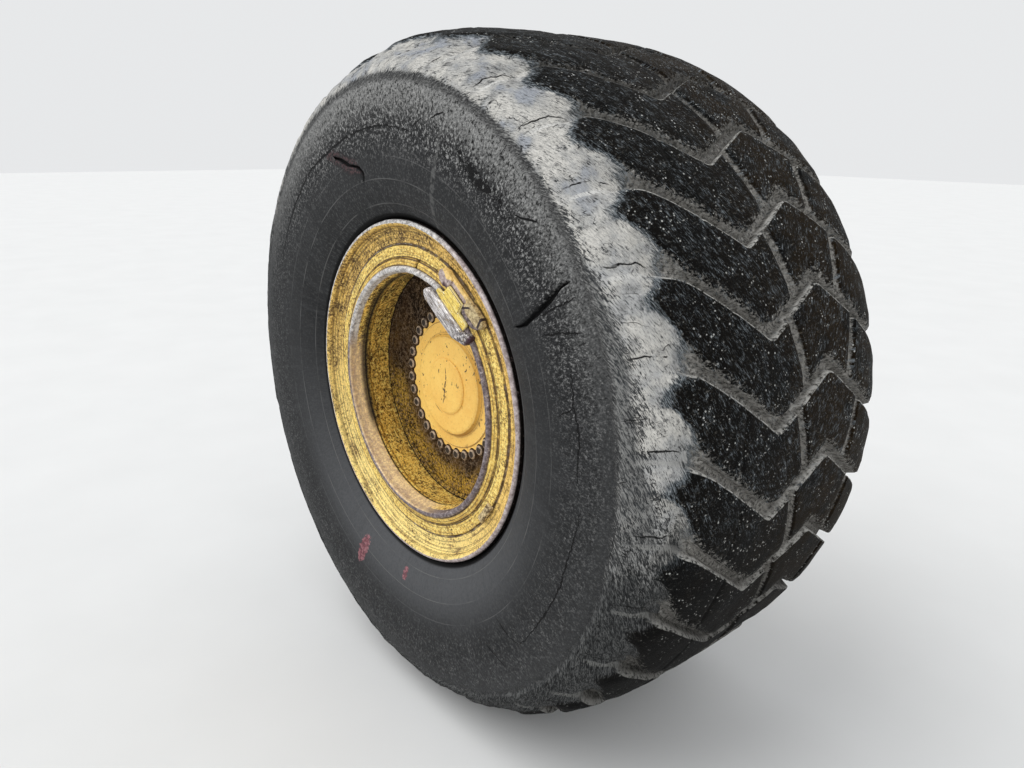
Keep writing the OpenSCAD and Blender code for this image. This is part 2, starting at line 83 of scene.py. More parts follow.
# Fine cracks that run out over the sidewall: width, then radii with angles
CRACKS_OUT = ((0.0035, ((0.552, 29.4), (0.602, 29.3), (0.653, 29.3))),
              (0.0035, ((0.546, 26.0), (0.590, 25.4), (0.646, 24.3))),
              (0.0065, ((0.602, 46.7), (0.619, 44.4), (0.642, 42.2))),
              (0.0065, ((0.620, 74.5), (0.642, 71.2))),
              (0.0035, ((0.553, 11.4), (0.597, 13.2))),
              (0.0035, ((0.531, -45.1), (0.575, -43.9), (0.603, -41.7))),
              (0.0045, ((0.570, -53.2), (0.596, -51.4), (0.626, -49.5))),
              (0.0040, ((0.589, 80.1), (0.614, 77.1))))
# Fine cracks that run round it: width, then angles with radii
CRACKS_ROUND = ((0.0045,
                 ((0.0, 0.591), (3.6, 0.593), (7.1, 0.597), (10.5, 0.598), (13.4, 0.592), (19.5, 0.601))),
                (0.0035,
                 ((-42.0, 0.601), (-34.3, 0.597), (-28.7, 0.598), (-21.0, 0.599), (-15.4, 0.596),
                  (-8.8, 0.601), (-4.0, 0.603))),
                (0.0055,
                 ((79.4, 0.578), (84.4, 0.582), (89.5, 0.584), (100.0, 0.583), (110.1, 0.582), (115.8, 0.582),
                  (121.3, 0.588), (130.0, 0.592), (135.4, 0.590), (147.0, 0.593), (159.0, 0.592))))
# A torn patch and a crumbled one, as angles with radii
TORN = ((101.5, 0.490), (104.1, 0.514), (108.2, 0.526), (111.7, 0.551), (117.0, 0.579))
CRUMBLED = ((49.5, 0.592), (53.1, 0.592), (54.8, 0.588), (57.0, 0.581), (59.7, 0.582), (62.3, 0.586),
            (66.0, 0.603))
# How far the scuffs on the tyre's shoulder turn round the axle, in radians for each metre across it
SCUFF_SLANT = 1.7

# Rim and hub
# Angle of the driver key about the axle, in degrees
KEY_ANGLE = 54.0
# Columns round the axle of the rim's rings
RING_STEPS = 288
# Scratched strokes on the hub cover: width, then heights with places across it
COVER_MARKS = ((0.0046,
                ((0.048, 0.001), (0.027, 0.0035), (0.007, -0.0005), (-0.025, -0.0056), (-0.051, -0.0106))),
               (0.0036, ((-0.056, -0.050), (-0.067, -0.035), (-0.0735, -0.017))))


# Shapes

def smooth(low, high, x):
    """0 below low and 1 above high, smooth between them; with low above high it falls instead."""
    t = np.clip((np.asarray(x, float) - low) / (high - low), 0, 1)
    return t * t * (3 - 2 * t)


def noise(points, size, seed):
    """Smooth noise from -1 to 1 at each point, with bumps of about that size in metres."""
    p = np.asarray(points, float) / size + 500
    cell = np.floor(p).astype(np.int64)
    f = p - cell
    f = f * f * (3 - 2 * f)
    total = np.zeros(p.shape[:-1])
    for corner in product((0, 1), repeat=3):
        c = cell + np.array(corner)
        h = (c[..., 0] * 73856093) ^ (c[..., 1] * 19349663) ^ (c[..., 2] * 83492791) ^ (seed * 2654435761)
        h = ((h ^ (h >> 13)) * 1274126177) & 0xffffffff
        h = (h ^ (h >> 15)) & 0xffff
        total += (h / 32768.0 - 1) * np.prod(np.where(np.array(corner) == 1, f, 1 - f), axis=-1)
    return total


def around_axle(angle, r, depth):
    """Points of the row frame from angle in radians, radius and depth."""
    return np.stack([r * np.cos(angle), LIP_Y + depth, r * np.sin(angle)], axis=-1)


def piece(name, verts, faces, material, body, nodes=(), layers=None):
    """A closed mesh made of points and faces. layers holds a value of each point by its name."""
    mesh = bpy.data.meshes.new(name)
    mesh.from_pydata(np.asarray(verts).tolist(), [], faces if isinstance(faces, list) else faces.tolist())
    for layer, values in (layers or {}).items():
        attribute = mesh.attributes.new(layer, "FLOAT", "POINT")
        attribute.data.foreach_set("value", np.asarray(values, np.float32).ravel())
    mesh.polygons.foreach_set("use_smooth", [True] * len(mesh.polygons))
    return finished(name, mesh, material, body, nodes)


def finished(name, mesh, material, body, nodes=()):
    """Puts a mesh in the scene with its normals outward, riding on its body in place of its nodes."""
    bm = bmesh.new()
    bm.from_mesh(mesh)
    if bm.calc_volume(signed=True) < 0:
        bmesh.ops.reverse_faces(bm, faces=bm.faces)
    bm.to_mesh(mesh)
    bm.free()
    mesh.materials.clear()
    mesh.materials.append(material)
    obj = bpy.data.objects.new(name, mesh)
    bpy.context.scene.collection.objects.link(obj)
    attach(obj, body)
    if nodes:
        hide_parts(*nodes)
    return obj


def grid_faces(rows, columns, close_rows=True):
    """Quads of a grid of points whose columns go round the axle, with its rows closed into a tube too."""
    i, j = np.meshgrid(np.arange(rows if close_rows else rows - 1), np.arange(columns), indexing="ij")
    k, l = (i + 1) % rows, (j + 1) % columns
    return np.stack([i * columns + j, i * columns + l, k * columns + l, k * columns + j],
                    axis=-1).reshape(-1, 4)


def soften(outline, radius=0.0012):
    """Rounds a closed outline's corners. Gives rows of radius, depth and corner: +1 convex, -1 concave."""
    hold = 0.003
    points = [Vector(p[:2]) for p in outline]
    area = sum(a.x * b.y - b.x * a.y for a, b in zip(points, points[1:] + points[:1]))
    rows = []
    for i, p in enumerate(points):
        back, on = points[i - 1] - p, points[(i + 1) % len(points)] - p
        turn = Vector((-back.x, -back.y)).angle(on)
        cross = -back.x * on.y + back.y * on.x
        corner = min(1.0, turn / radians(60)) * (1 if cross * area > 0 else -1)
        if turn < radians(14):
            rows.append((p.x, p.y, 0.4 * corner))
            continue
        cut = min(radius, 0.3 * back.length, 0.3 * on.length)
        a, b = p + back.normalized() * cut, p + on.normalized() * cut
        start = a + back.normalized() * min(hold, 0.15 * back.length)
        end = b + on.normalized() * min(hold, 0.15 * on.length)
        rows.append((start.x, start.y, 0.0))
        for t in (0, 0.25, 0.5, 0.75, 1):
            q = a * (1 - t) ** 2 + p * 2 * t * (1 - t) + b * t * t
            rows.append((q.x, q.y, corner * (0.6 + 0.8 * t * (1 - t))))
        rows.append((end.x, end.y, 0.0))
    return np.array(rows)


def arc(r, depth, radius, start, end, steps=8):
    """Points of an arc round a middle at a radius and depth, from one angle to another in degrees."""
    angles = np.radians(np.linspace(start, end, steps + 1))
    return [(r + radius * cos(a), depth + radius * sin(a)) for a in angles]


def flipped(outline):
    """The same outline on the rim's other side."""
    return [(p[0], RIM_SPAN - p[1]) for p in outline][::-1]


def ring(name, outline, material, body, nodes=(), radius=0.0012, dent=0.0003, gap=None, seed=1):
    """An outline of radius and depth turned about the axle, its edges rounded and a little battered.
    gap is the middle and width, in degrees, of a split in the ring."""
    rows, steps = soften(outline, radius), RING_STEPS
    angles = np.linspace(0, 2 * pi, steps, endpoint=False)
    if gap:
        middle, width = radians(gap[0]), radians(gap[1])
        angles = np.linspace(middle + width / 2, middle - width / 2 + 2 * pi, steps)
    a, r = np.meshgrid(angles, rows[:, 0])
    depth = np.repeat(rows[:, 1][:, None], len(angles), axis=1)
    corner = np.repeat(rows[:, 2][:, None], len(angles), axis=1)
    at = around_axle(a, r, depth)
    edge_dent = dent * np.clip(corner, 0, 1)
    r = r + dent * noise(at, 0.06, seed) + edge_dent * noise(at, 0.012, seed + 1)
    depth = depth + dent * noise(at, 0.09, seed + 2) + edge_dent * noise(at, 0.010, seed + 3)
    faces = grid_faces(len(rows), len(angles))
    if gap:
        faces = [f for f in faces.tolist() if max(v % steps for v in f) - min(v % steps for v in f) < 2]
        faces += [[i * steps for i in range(len(rows))],
                  [i * steps + steps - 1 for i in range(len(rows))][::-1]]
    return piece(name, around_axle(a, r, depth).reshape(-1, 3), faces, material, body, nodes,
                 {"corner": corner})


def cap_of_ring(name, outline, material, body, nodes=(), steps=192, shape=None, seed=1):
    """A turned outline that starts and ends on the axle. shape(angles, r, depth) may change its radii."""
    start, end, inner = outline[0][1], outline[-1][1], (0.006, 0.022, 0.042)
    near, far = [(r, start) for r in inner], [(r, end) for r in inner[::-1]]
    rows = soften([(-0.02, start)] + near + list(outline[1:-1]) + far + [(-0.02, end)])
    rows = rows[rows[:, 0] > 0.0005]
    angles = np.linspace(0, 2 * pi, steps, endpoint=False)
    a, r = np.meshgrid(angles, rows[:, 0])
    depth = np.repeat(rows[:, 1][:, None], steps, axis=1)
    corner = np.repeat(rows[:, 2][:, None], steps, axis=1)
    if shape:
        r = shape(a, r, depth)
    depth = depth + 0.0003 * noise(around_axle(a, r, depth), 0.05, seed)
    verts = around_axle(a, r, depth).reshape(-1, 3).tolist()
    faces = grid_faces(len(rows), steps, close_rows=False).tolist()
    for row, flip in ((0, True), (len(rows) - 1, False)):
        verts.append([0.0, LIP_Y + float(depth[row, 0]), 0.0])
        for j in range(steps):
            fan = [row * steps + j, row * steps + (j + 1) % steps, len(verts) - 1]
            faces.append(fan[::-1] if flip else fan)
    corners = np.append(corner.ravel(), [0, 0])
    return piece(name, verts, faces, material, body, nodes, {"corner": corners})


def groove_angle(distance, spread=0.010):
    """Angle of a groove's middle at a distance from the tread's middle, its bends rounded over a spread."""
    path = np.array(GROOVE_PATH)
    total = 0
    for offset in (-1, -0.5, 0, 0.5, 1):
        total = total + np.interp(distance + offset * spread, path[:, 0], path[:, 1])
    return np.radians(total / 5)


# Finishes

class Finish:
    """A material being made, with short ways to add its nodes. Values are numbers, colours or sockets."""

    def __init__(self, name):
        self.material = bpy.data.materials.new(name)
        self.material.use_nodes = True
        self.tree = self.material.node_tree
        self.tree.nodes.clear()
        self.point = self.node("ShaderNodeTexCoord", out="Object")

    def node(self, kind, *values, out=0, **settings):
        made = self.tree.nodes.new(kind)
        for key, value in settings.items():
            setattr(made, key, value)
        for i, value in enumerate(values):
            self.feed(made.inputs[i], value)
        return made.outputs[out]

    def feed(self, socket, value):
        if value is None:
            return
        if isinstance(value, bpy.types.NodeSocket):
            self.tree.links.new(value, socket)
        elif isinstance(value, tuple) and len(value) == 3 and socket.type == "RGBA":
            socket.default_value = (*value, 1)
        else:
            socket.default_value = value

    def math(self, operation, a, b=None, clamp=False):
        return self.node("ShaderNodeMath", a, b, operation=operation, use_clamp=clamp)

    def times(self, *values):
        total = values[0]
        for value in values[1:]:
            total = self.math("MULTIPLY", total, value)
        return total

    def plus(self, *values):
        total = values[0]
        for value in values[1:]:
            total = self.math("ADD", total, value)
        return total

    def most(self, *values):
        total = values[0]
        for value in values[1:]:
            total = self.math("MAXIMUM", total, value)
        return total

    def minus(self, a, b):
        return self.math("SUBTRACT", a, b)

    def apart(self, a, b):
        return self.math("ABSOLUTE", self.minus(a, b))

    def sway(self, value, amount):
        """Noise moved from about 0.5 to about 0 and made an amount times as strong."""
        return self.times(self.minus(value, 0.5), amount)

    def rest(self, value):
        return self.math("SUBTRACT", 1.0, value, clamp=True)

    def step(self, value, low, high):
        """0 below low and 1 above high, smooth between them; with low above high it falls instead."""
        return self.node("ShaderNodeMapRange", value, low, high, 0.0, 1.0, interpolation_type="SMOOTHSTEP")

    def mix(self, factor, a, b):
        made = self.tree.nodes.new("ShaderNodeMix")
        made.data_type = "RGBA"
        self.feed(made.inputs[0], factor)
        self.feed(made.inputs[6], a)
        self.feed(made.inputs[7], b)
        return made.outputs[2]

    def blend(self, value, low, high, a, b, share=None):
        """Goes from colour a to b as a value goes from low to high, or only a share of the way."""
        factor = self.step(value, low, high)
        return self.mix(factor if share is None else self.times(factor, share), a, b)

    def noise(self, size, detail=3.0, roughness=0.55, point=None, distortion=0.0):
        """Noise from about 0.25 to 0.75 with bumps of a size in metres."""
        made = self.tree.nodes.new("ShaderNodeTexNoise")
        self.feed(made.inputs["Vector"], point or self.point)
        made.inputs["Scale"].default_value = 1 / size
        made.inputs["Detail"].default_value = detail
        made.inputs["Roughness"].default_value = roughness
        made.inputs["Distortion"].default_value = distortion
        return made.outputs[0]

    def spots(self, size, share, soft=0.06, detail=2.0, roughness=0.5):
        """1 on spots of about a size that cover about a share of the surface."""
        level = 0.5 + 0.17 * (1 - 2 * share) * 1.35
        return self.step(self.noise(size, detail, roughness), level - soft / 2, level + soft / 2)

    def grit(self, size, share):
        """Small round grains: some cells of a size hold one."""
        cells = self.tree.nodes.new("ShaderNodeTexVoronoi")
        self.feed(cells.inputs["Vector"], self.point)
        cells.inputs["Scale"].default_value = 1 / size
        chosen = self.step(self.node("ShaderNodeSeparateColor", cells.outputs["Color"]), 1 - share,
                           1 - share + 0.02)
        return self.times(chosen, self.step(cells.outputs["Distance"], 0.34, 0.22))

    def curve(self, value, points):
        """Follows a line through points whose x and y lie between 0 and 1."""
        made = self.tree.nodes.new("ShaderNodeFloatCurve")
        line = made.mapping.curves[0]
        line.points[0].location = points[0]
        line.points[1].location = points[-1]
        for point in points[1:-1]:
            line.points.new(*point)
        for point in line.points:
            point.handle_type = "VECTOR"
        made.mapping.update()
        self.feed(made.inputs[1], value)
        return made.outputs[0]

    def follow(self, value, places, heights):
        """The height in between for a value among the places, and how far along them it is, from 0 to 1."""
        low, high = min(heights), max(heights) + 1e-6
        start, end = places[0], places[-1]
        points = [((p - start) / (end - start), (h - low) / (high - low)) for p, h in zip(places, heights)]
        at = self.node("ShaderNodeMapRange", value, float(start), float(end), 0.0, 1.0)
        return self.plus(self.times(self.curve(at, points), float(high - low)), float(low)), at

    def stroke(self, run, aside, width, line, scale=1.0):
        """1 on a stroke that follows a line, thin at its ends.
        The line gives places along run, each with its place aside."""
        target, at = self.follow(run, [p[0] for p in line], [p[1] for p in line])
        away = self.times(self.apart(aside, target), scale)
        taper = self.times(at, self.rest(at), 4.0)
        wide = self.times(self.plus(0.25, self.times(taper, 0.75)), width / 2)
        return self.times(self.step(self.math("DIVIDE", away, wide), 1.25, 0.7), self.step(taper, 0.0, 0.08))

    def crack(self, width, line, outwards):
        """1 on a crack along a line of radii and angles. outwards says whether it runs out or round."""
        if outwards:
            return self.stroke(self.r, self.plus(self.angle, self.wobble_round), width, line,
                               self.times(self.r, radians(1)))
        return self.stroke(self.angle, self.plus(self.r, self.wobble_out), width, line)

    def layer(self, name):
        return self.node("ShaderNodeAttribute", attribute_name=name, out="Fac")

    def polar(self):
        """Sets x, y and z, and about the axle r, depth, angle in degrees and the direction ux and uz."""
        self.x, self.y, self.z = (self.node("ShaderNodeSeparateXYZ", self.point, out=i) for i in range(3))
        self.r = self.math("SQRT", self.plus(self.times(self.x, self.x), self.times(self.z, self.z)))
        self.depth = self.minus(self.y, LIP_Y)
        self.ux = self.math("DIVIDE", self.x, self.r)
        self.uz = self.math("DIVIDE", self.z, self.r)
        self.angle = self.times(self.math("ARCTAN2", self.z, self.x), 180 / pi)
        return self

    def along(self, around, across, slant=0.0):
        """Coordinates stretched along the axle's circles: noise of size 1 has bumps of 1/around radians by
        1/across metres. slant is how far they turn round the axle, in radians for each metre across."""
        sweep = self.minus(self.r, self.apart(self.depth, MID))
        ux, uz = self.ux, self.uz
        if slant:
            turn = self.times(sweep, slant)
            c, s = self.math("COSINE", turn), self.math("SINE", turn)
            ux, uz = (self.minus(self.times(ux, c), self.times(uz, s)),
                      self.plus(self.times(ux, s), self.times(uz, c)))
        return self.node("ShaderNodeCombineXYZ", self.times(ux, around), self.times(sweep, across),
                         self.times(uz, around))

    def along_key(self):
        """Sets out, the distance from the axle, and up, the distance along it, in the driver key's plane."""
        self.polar()
        a = radians(KEY_ANGLE)
        self.out = self.plus(self.times(self.x, cos(a)), self.times(self.z, sin(a)))
        self.up = self.minus(self.times(self.z, cos(a)), self.times(self.x, sin(a)))
        return self

    def lengthwise(self, across, along):
        """Coordinates stretched along the driver key."""
        return self.node("ShaderNodeCombineXYZ", self.times(self.out, across), self.times(self.up, along),
                         self.times(self.depth, across))

    def facing(self, angle, spread):
        """1 towards an angle in degrees about the axle, falling to 0 past the spread."""
        a = radians(angle)
        dot = self.plus(self.times(self.ux, cos(a)), self.times(self.uz, sin(a)))
        return self.step(dot, cos(radians(spread)), 1.0)

    def band(self, value, middle, half, soft):
        """1 where a value is within half of a middle one."""
        away = self.apart(value, middle)
        return self.step(away, half + soft, half)

    def smear(self, angle, r, half_around, half_out):
        """1 in a patch of the side at an angle and radius."""
        a = radians(angle)
        out = self.minus(self.plus(self.times(self.x, cos(a)), self.times(self.z, sin(a))), r)
        side = self.minus(self.times(self.z, cos(a)), self.times(self.x, sin(a)))
        out, side = self.times(out, 1 / half_out), self.times(side, 1 / half_around)
        return self.step(self.plus(self.times(out, out), self.times(side, side)), 1.2, 0.3)

    def done(self, colour, roughness, height=None, relief=0.001, metallic=0.0, specular=0.5):
        """Joins the nodes into the surface. height from 0 to 1 stands for relief metres."""
        shader = self.tree.nodes.new("ShaderNodeBsdfPrincipled")
        self.feed(shader.inputs["Base Color"], colour)
        self.feed(shader.inputs["Roughness"], roughness)
        self.feed(shader.inputs["Metallic"], metallic)
        shader.inputs["Specular IOR Level"].default_value = specular
        if height is not None:
            bump = self.tree.nodes.new("ShaderNodeBump")
            bump.inputs["Strength"].default_value = 1.0
            bump.inputs["Distance"].default_value = relief
            self.feed(bump.inputs["Height"], height)
            self.tree.links.new(bump.outputs[0], shader.inputs["Normal"])
        output = self.tree.nodes.new("ShaderNodeOutputMaterial")
        self.tree.links.new(shader.outputs[0], output.inputs[0])
        return self.material


def sidewall_rubber():
    """Black rubber: smooth and scratched below, rough, dusty and cracked above, with a scuffed shoulder,
    painted shade in the fold under its ridge and a painted shadow next to the rim.
    """
    f = Finish("sidewall_rubber").polar()
    upper, lower = f.facing(86, 88), f.facing(-90, 108)
    blotch = f.noise(0.16, 4)
    scratch = f.noise(1.0, 4, 0.76, f.along(190, 150), distortion=0.4)
    weave = f.noise(0.0062, 3, 0.8)
    grain = f.plus(f.times(scratch, 0.5), f.times(weave, 0.5))
    rough = f.times(f.step(f.r, 0.510, 0.590), f.plus(0.40, f.times(f.facing(68, 88), 0.60)))
    band = f.times(f.band(f.r, 0.662, 0.010, 0.008), f.rest(upper), 0.6)
    strength = f.plus(0.16, f.times(rough, f.rest(band), 0.84))
    colour = f.blend(blotch, 0.35, 0.65, (0.0165, 0.0170, 0.0180), (0.0240, 0.0246, 0.0256))
    inner = f.step(f.r, 0.570, 0.440)
    colour = f.mix(f.times(inner, lower), colour, (0.074, 0.076, 0.080))
    streak = f.noise(1.0, 4, 0.6, f.along(30, 9))
    colour = f.blend(streak, 0.48, 0.72, colour, (0.050, 0.051, 0.053), 0.35)
    dusty = f.times(f.step(f.r, 0.585, 0.660), f.plus(0.22, f.times(upper, 0.78)))
    colour = f.mix(dusty, colour, f.mix(upper, (0.070, 0.071, 0.071), (0.185, 0.185, 0.180)))
    light = f.mix(f.most(upper, f.times(dusty, 0.5)), (0.115, 0.115, 0.113), (0.300, 0.298, 0.290))
    colour = f.blend(grain, 0.515, 0.585, colour, light, strength)
    colour = f.blend(grain, 0.490, 0.425, colour, (0.0035, 0.0035, 0.0038), strength)
    flecks = f.times(f.step(weave, 0.63, 0.69), rough, f.step(f.noise(0.05, 2), 0.40, 0.56))
    colour = f.mix(f.times(flecks, 0.7), colour, (0.34, 0.34, 0.335))

    rings = f.most(*(f.band(f.r, radius, 0.0004, 0.0012) for radius in RAISED_R),
                   f.times(f.band(f.r, 0.5250, 0.0003, 0.0012), 0.6))
    rings = f.times(rings, f.plus(0.10, f.step(f.noise(0.09, 2), 0.38, 0.58)))
    colour = f.mix(f.times(rings, 0.50), colour, (0.150, 0.150, 0.147))
    radial = f.times(f.smear(71, 0.500, 0.008, 0.13), f.step(f.noise(0.01, 3), 0.35, 0.6))
    colour = f.mix(f.times(radial, 0.55), colour, (0.130, 0.130, 0.126))
    outboard = f.step(f.depth, MID, MID - 0.01)
    marks = f.most(f.smear(248.5, 0.494, 0.021, 0.050), f.times(f.smear(270.5, 0.450, 0.011, 0.020), 0.9))
    speckled = f.noise(0.0085, 4, 0.75)
    marks = f.times(f.step(f.plus(marks, f.sway(speckled, 3.4)), 0.42, 0.80), f.step(marks, 0.05, 0.25),
                    outboard)
    colour = f.mix(f.times(marks, 0.80), colour,
                   f.blend(speckled, 0.44, 0.60, (0.155, 0.040, 0.052), (0.340, 0.150, 0.165)))

    shoulder, scales, fine, _ = worn_shoulder(f)
    ragged = f.plus(f.r, f.sway(scales, 0.026), f.sway(fine, 0.02))
    on_shoulder = f.step(ragged, 0.672, 0.683)
    colour = f.mix(on_shoulder, colour, shoulder)
    # Painted shade: a soft dark band at the fold just below the ridge, strongest on the upper side.
    crease_shade = f.times(f.band(f.r, 0.679, 0.004, 0.010), f.plus(0.25, f.times(upper, 0.75)),
                     f.step(fine, 0.60, 0.44))
    colour = f.mix(f.times(crease_shade, 0.75), colour, (0.030, 0.030, 0.031))

    shift = f.minus(f.noise(0.012, 3, 0.6), 0.5)
    f.wobble_out, f.wobble_round = f.times(shift, 0.012), f.times(shift, 1.1)
    lines = 0.0
    for width, line in CRACKS_OUT:
        lines = f.most(lines, f.crack(width, line, True))
    for width, line in CRACKS_ROUND:
        lines = f.most(lines, f.times(f.crack(width, line, False), f.step(f.noise(0.022, 2), 0.30, 0.40)))
    blobs = f.times(f.crack(0.030, CRUMBLED, False), f.spots(0.013, 0.52, detail=4, roughness=0.7, soft=0.03))
    torn = f.times(f.crack(0.040, TORN, False), f.step(f.noise(0.007, 4, 0.75), 0.50, 0.56))
    colour = f.mix(f.times(f.crack(0.046, TORN, False), 0.6), colour, (0.012, 0.010, 0.011))
    colour = f.mix(f.times(torn, 0.8), colour, (0.090, 0.050, 0.052))
    wavy = f.noise(1.0, 3, 0.55, f.along(20, 12), distortion=0.6)
    more = f.times(f.band(wavy, 0.5, 0.0012, 0.0045), f.spots(0.045, 0.30), rough)
    nicks = f.times(f.step(f.noise(1.0, 3, 0.6, f.along(70, 34)), 0.665, 0.70), f.spots(0.06, 0.45), rough)
    dark = f.most(f.times(f.most(more, nicks), 0.85), f.times(f.most(lines, blobs), outboard), f.layer("cut"))
    # Painted shadow: a black ring on the rubber next to the flange's lip.
    dark = f.most(dark, f.step(f.r, LIP_R + 0.0155, LIP_R + 0.0105))
    colour = f.mix(dark, colour, (0.0022, 0.0022, 0.0024))
    height = f.plus(f.times(grain, f.plus(0.10, f.times(rough, 0.75))), f.times(rings, 0.25),
                    f.times(dark, -0.6), f.times(scales, on_shoulder), f.times(f.noise(0.003, 2), 0.08))
    roughness = f.plus(0.55, f.times(blotch, 0.25), f.times(dusty, 0.12))
    return f.done(colour, roughness, height, 0.0026, specular=0.16)


def lug_tops(f):
    """Dark rubber with brown earth rubbed in, grit and pale scuffs."""
    grain = f.noise(0.0056, 4, 0.8)
    drag = f.noise(1.0, 4, 0.75, f.along(150, 62))
    patch = f.noise(0.07, 3)
    inboard = f.step(f.depth, 0.16, 0.50)
    brown = f.times(f.step(patch, 0.30, 0.56), f.plus(0.15, f.times(inboard, 0.85)))
    colour = f.mix(brown, (0.0016, 0.0017, 0.0016), (0.0090, 0.0050, 0.0012))
    colour = f.blend(grain, 0.565, 0.650, colour, f.mix(brown, (0.046, 0.044, 0.040), (0.046, 0.030, 0.012)),
                     0.55)
    colour = f.blend(drag, 0.600, 0.680, colour, f.mix(brown, (0.125, 0.122, 0.112), (0.105, 0.085, 0.058)),
                     0.65)
    colour = f.blend(grain, 0.43, 0.36, colour, (0.0010, 0.0010, 0.0010))
    white = f.most(f.grit(0.0064, 0.09), f.times(f.grit(0.0044, 0.12), 0.85))
    white = f.times(white, f.step(f.noise(0.05, 2), 0.40, 0.58))
    return f.mix(white, colour, (0.42, 0.42, 0.40)), grain, drag


def groove_dust(f):
    """Grey earth in the grooves, in pale crumbs on darker ground."""
    fine = f.noise(0.0070, 4, 0.8)
    colour = f.blend(fine, 0.38, 0.56, (0.070, 0.067, 0.061), (0.300, 0.288, 0.265))
    crumbs = f.times(f.step(fine, 0.56, 0.64), f.step(f.noise(0.030, 3), 0.40, 0.58))
    return f.mix(f.times(crumbs, 0.8), colour, (0.52, 0.51, 0.48)), fine


def worn_shoulder(f):
    """Scrubbed rubber: chalk-white where palest, in small dark scales towards the sidewall and below. Paler
    upwards and darker below partly as painted light and shade, with painted shadows and highlights on its
    wrinkles and a painted bluish sheen.
    """
    scales = f.noise(1.0, 3, 0.66, f.along(92, 70, SCUFF_SLANT), distortion=1.5)
    fine = f.noise(1.0, 4, 0.72, f.along(215, 175, SCUFF_SLANT), distortion=0.6)
    broad = f.noise(0.055, 4)
    soft = f.noise(0.024, 4, 0.62)
    both = f.plus(f.times(scales, 0.55), f.times(fine, 0.45))
    # The colour of the lower side: dark scales, partly darkened as painted shade.
    below = f.blend(both, 0.46, 0.60, (0.0250, 0.0260, 0.0268), (0.125, 0.127, 0.125))

    chalk = f.blend(broad, 0.40, 0.62, (0.64, 0.62, 0.575), (0.43, 0.43, 0.422))
    # Painted bluish sheen on the upward side.
    chalk = f.mix(f.times(f.step(broad, 0.55, 0.66), f.facing(80, 60), 0.8), chalk, (0.34, 0.365, 0.415))
    chalk = f.blend(soft, 0.52, 0.66, chalk, (0.235, 0.235, 0.230), 0.60)
    # Darker and paler fine marks: painted shadows and highlights on the wrinkles.
    chalk = f.blend(fine, 0.49, 0.40, chalk, (0.19, 0.19, 0.186), 0.55)
    chalk = f.blend(fine, 0.57, 0.66, chalk, (0.72, 0.71, 0.68), 0.40)
    hair = f.times(f.band(scales, 0.5, 0.004, 0.016), f.step(f.noise(0.03, 2), 0.42, 0.56))
    chalk = f.mix(f.times(hair, 0.55), chalk, (0.085, 0.085, 0.085))

    low_side = f.plus(f.times(f.step(f.uz, 0.66, 0.30), 0.52), f.times(f.step(f.uz, 0.14, -0.03), 0.48))
    ridge = f.plus(f.r, f.sway(scales, 0.013), f.sway(fine, 0.008), f.times(low_side, -0.040))
    near = f.times(f.step(ridge, 0.708, 0.686), f.plus(0.095, f.times(f.step(f.uz, 0.55, 0.85), -0.060)))
    # Dark scales near the ridge: partly dark rubber, partly painted shadow of the wrinkles.
    scaly = f.plus(near, -0.022, f.sway(soft, 0.34))
    chalk = f.blend(f.minus(both, scaly), 0.455, 0.405, chalk, (0.030, 0.031, 0.032), 0.95)
    # Chalk shows more towards the top and right: partly real scrubbing, partly painted light.
    lit = f.plus(f.uz, f.times(f.ux, 0.35), f.sway(broad, 0.7), f.sway(both, 0.7))
    chalk_and_light = f.step(lit, 0.10, 0.44)
    colour = f.mix(chalk_and_light, below, chalk)
    # At the ridge, dark scales with pale flecks: partly painted shadow and highlight of the wrinkles.
    edge = f.blend(both, 0.45, 0.56, (0.040, 0.041, 0.042), (0.225, 0.225, 0.218))
    colour = f.blend(ridge, 0.694, 0.684, colour, edge, chalk_and_light)
    wavy = f.noise(1.0, 3, 0.6, f.along(15, 7), distortion=0.8)
    cracks = f.times(f.band(wavy, 0.5, 0.0020, 0.0065), f.spots(0.040, 0.34))
    return f.mix(f.times(cracks, 0.9), colour, (0.010, 0.010, 0.010)), scales, fine, cracks


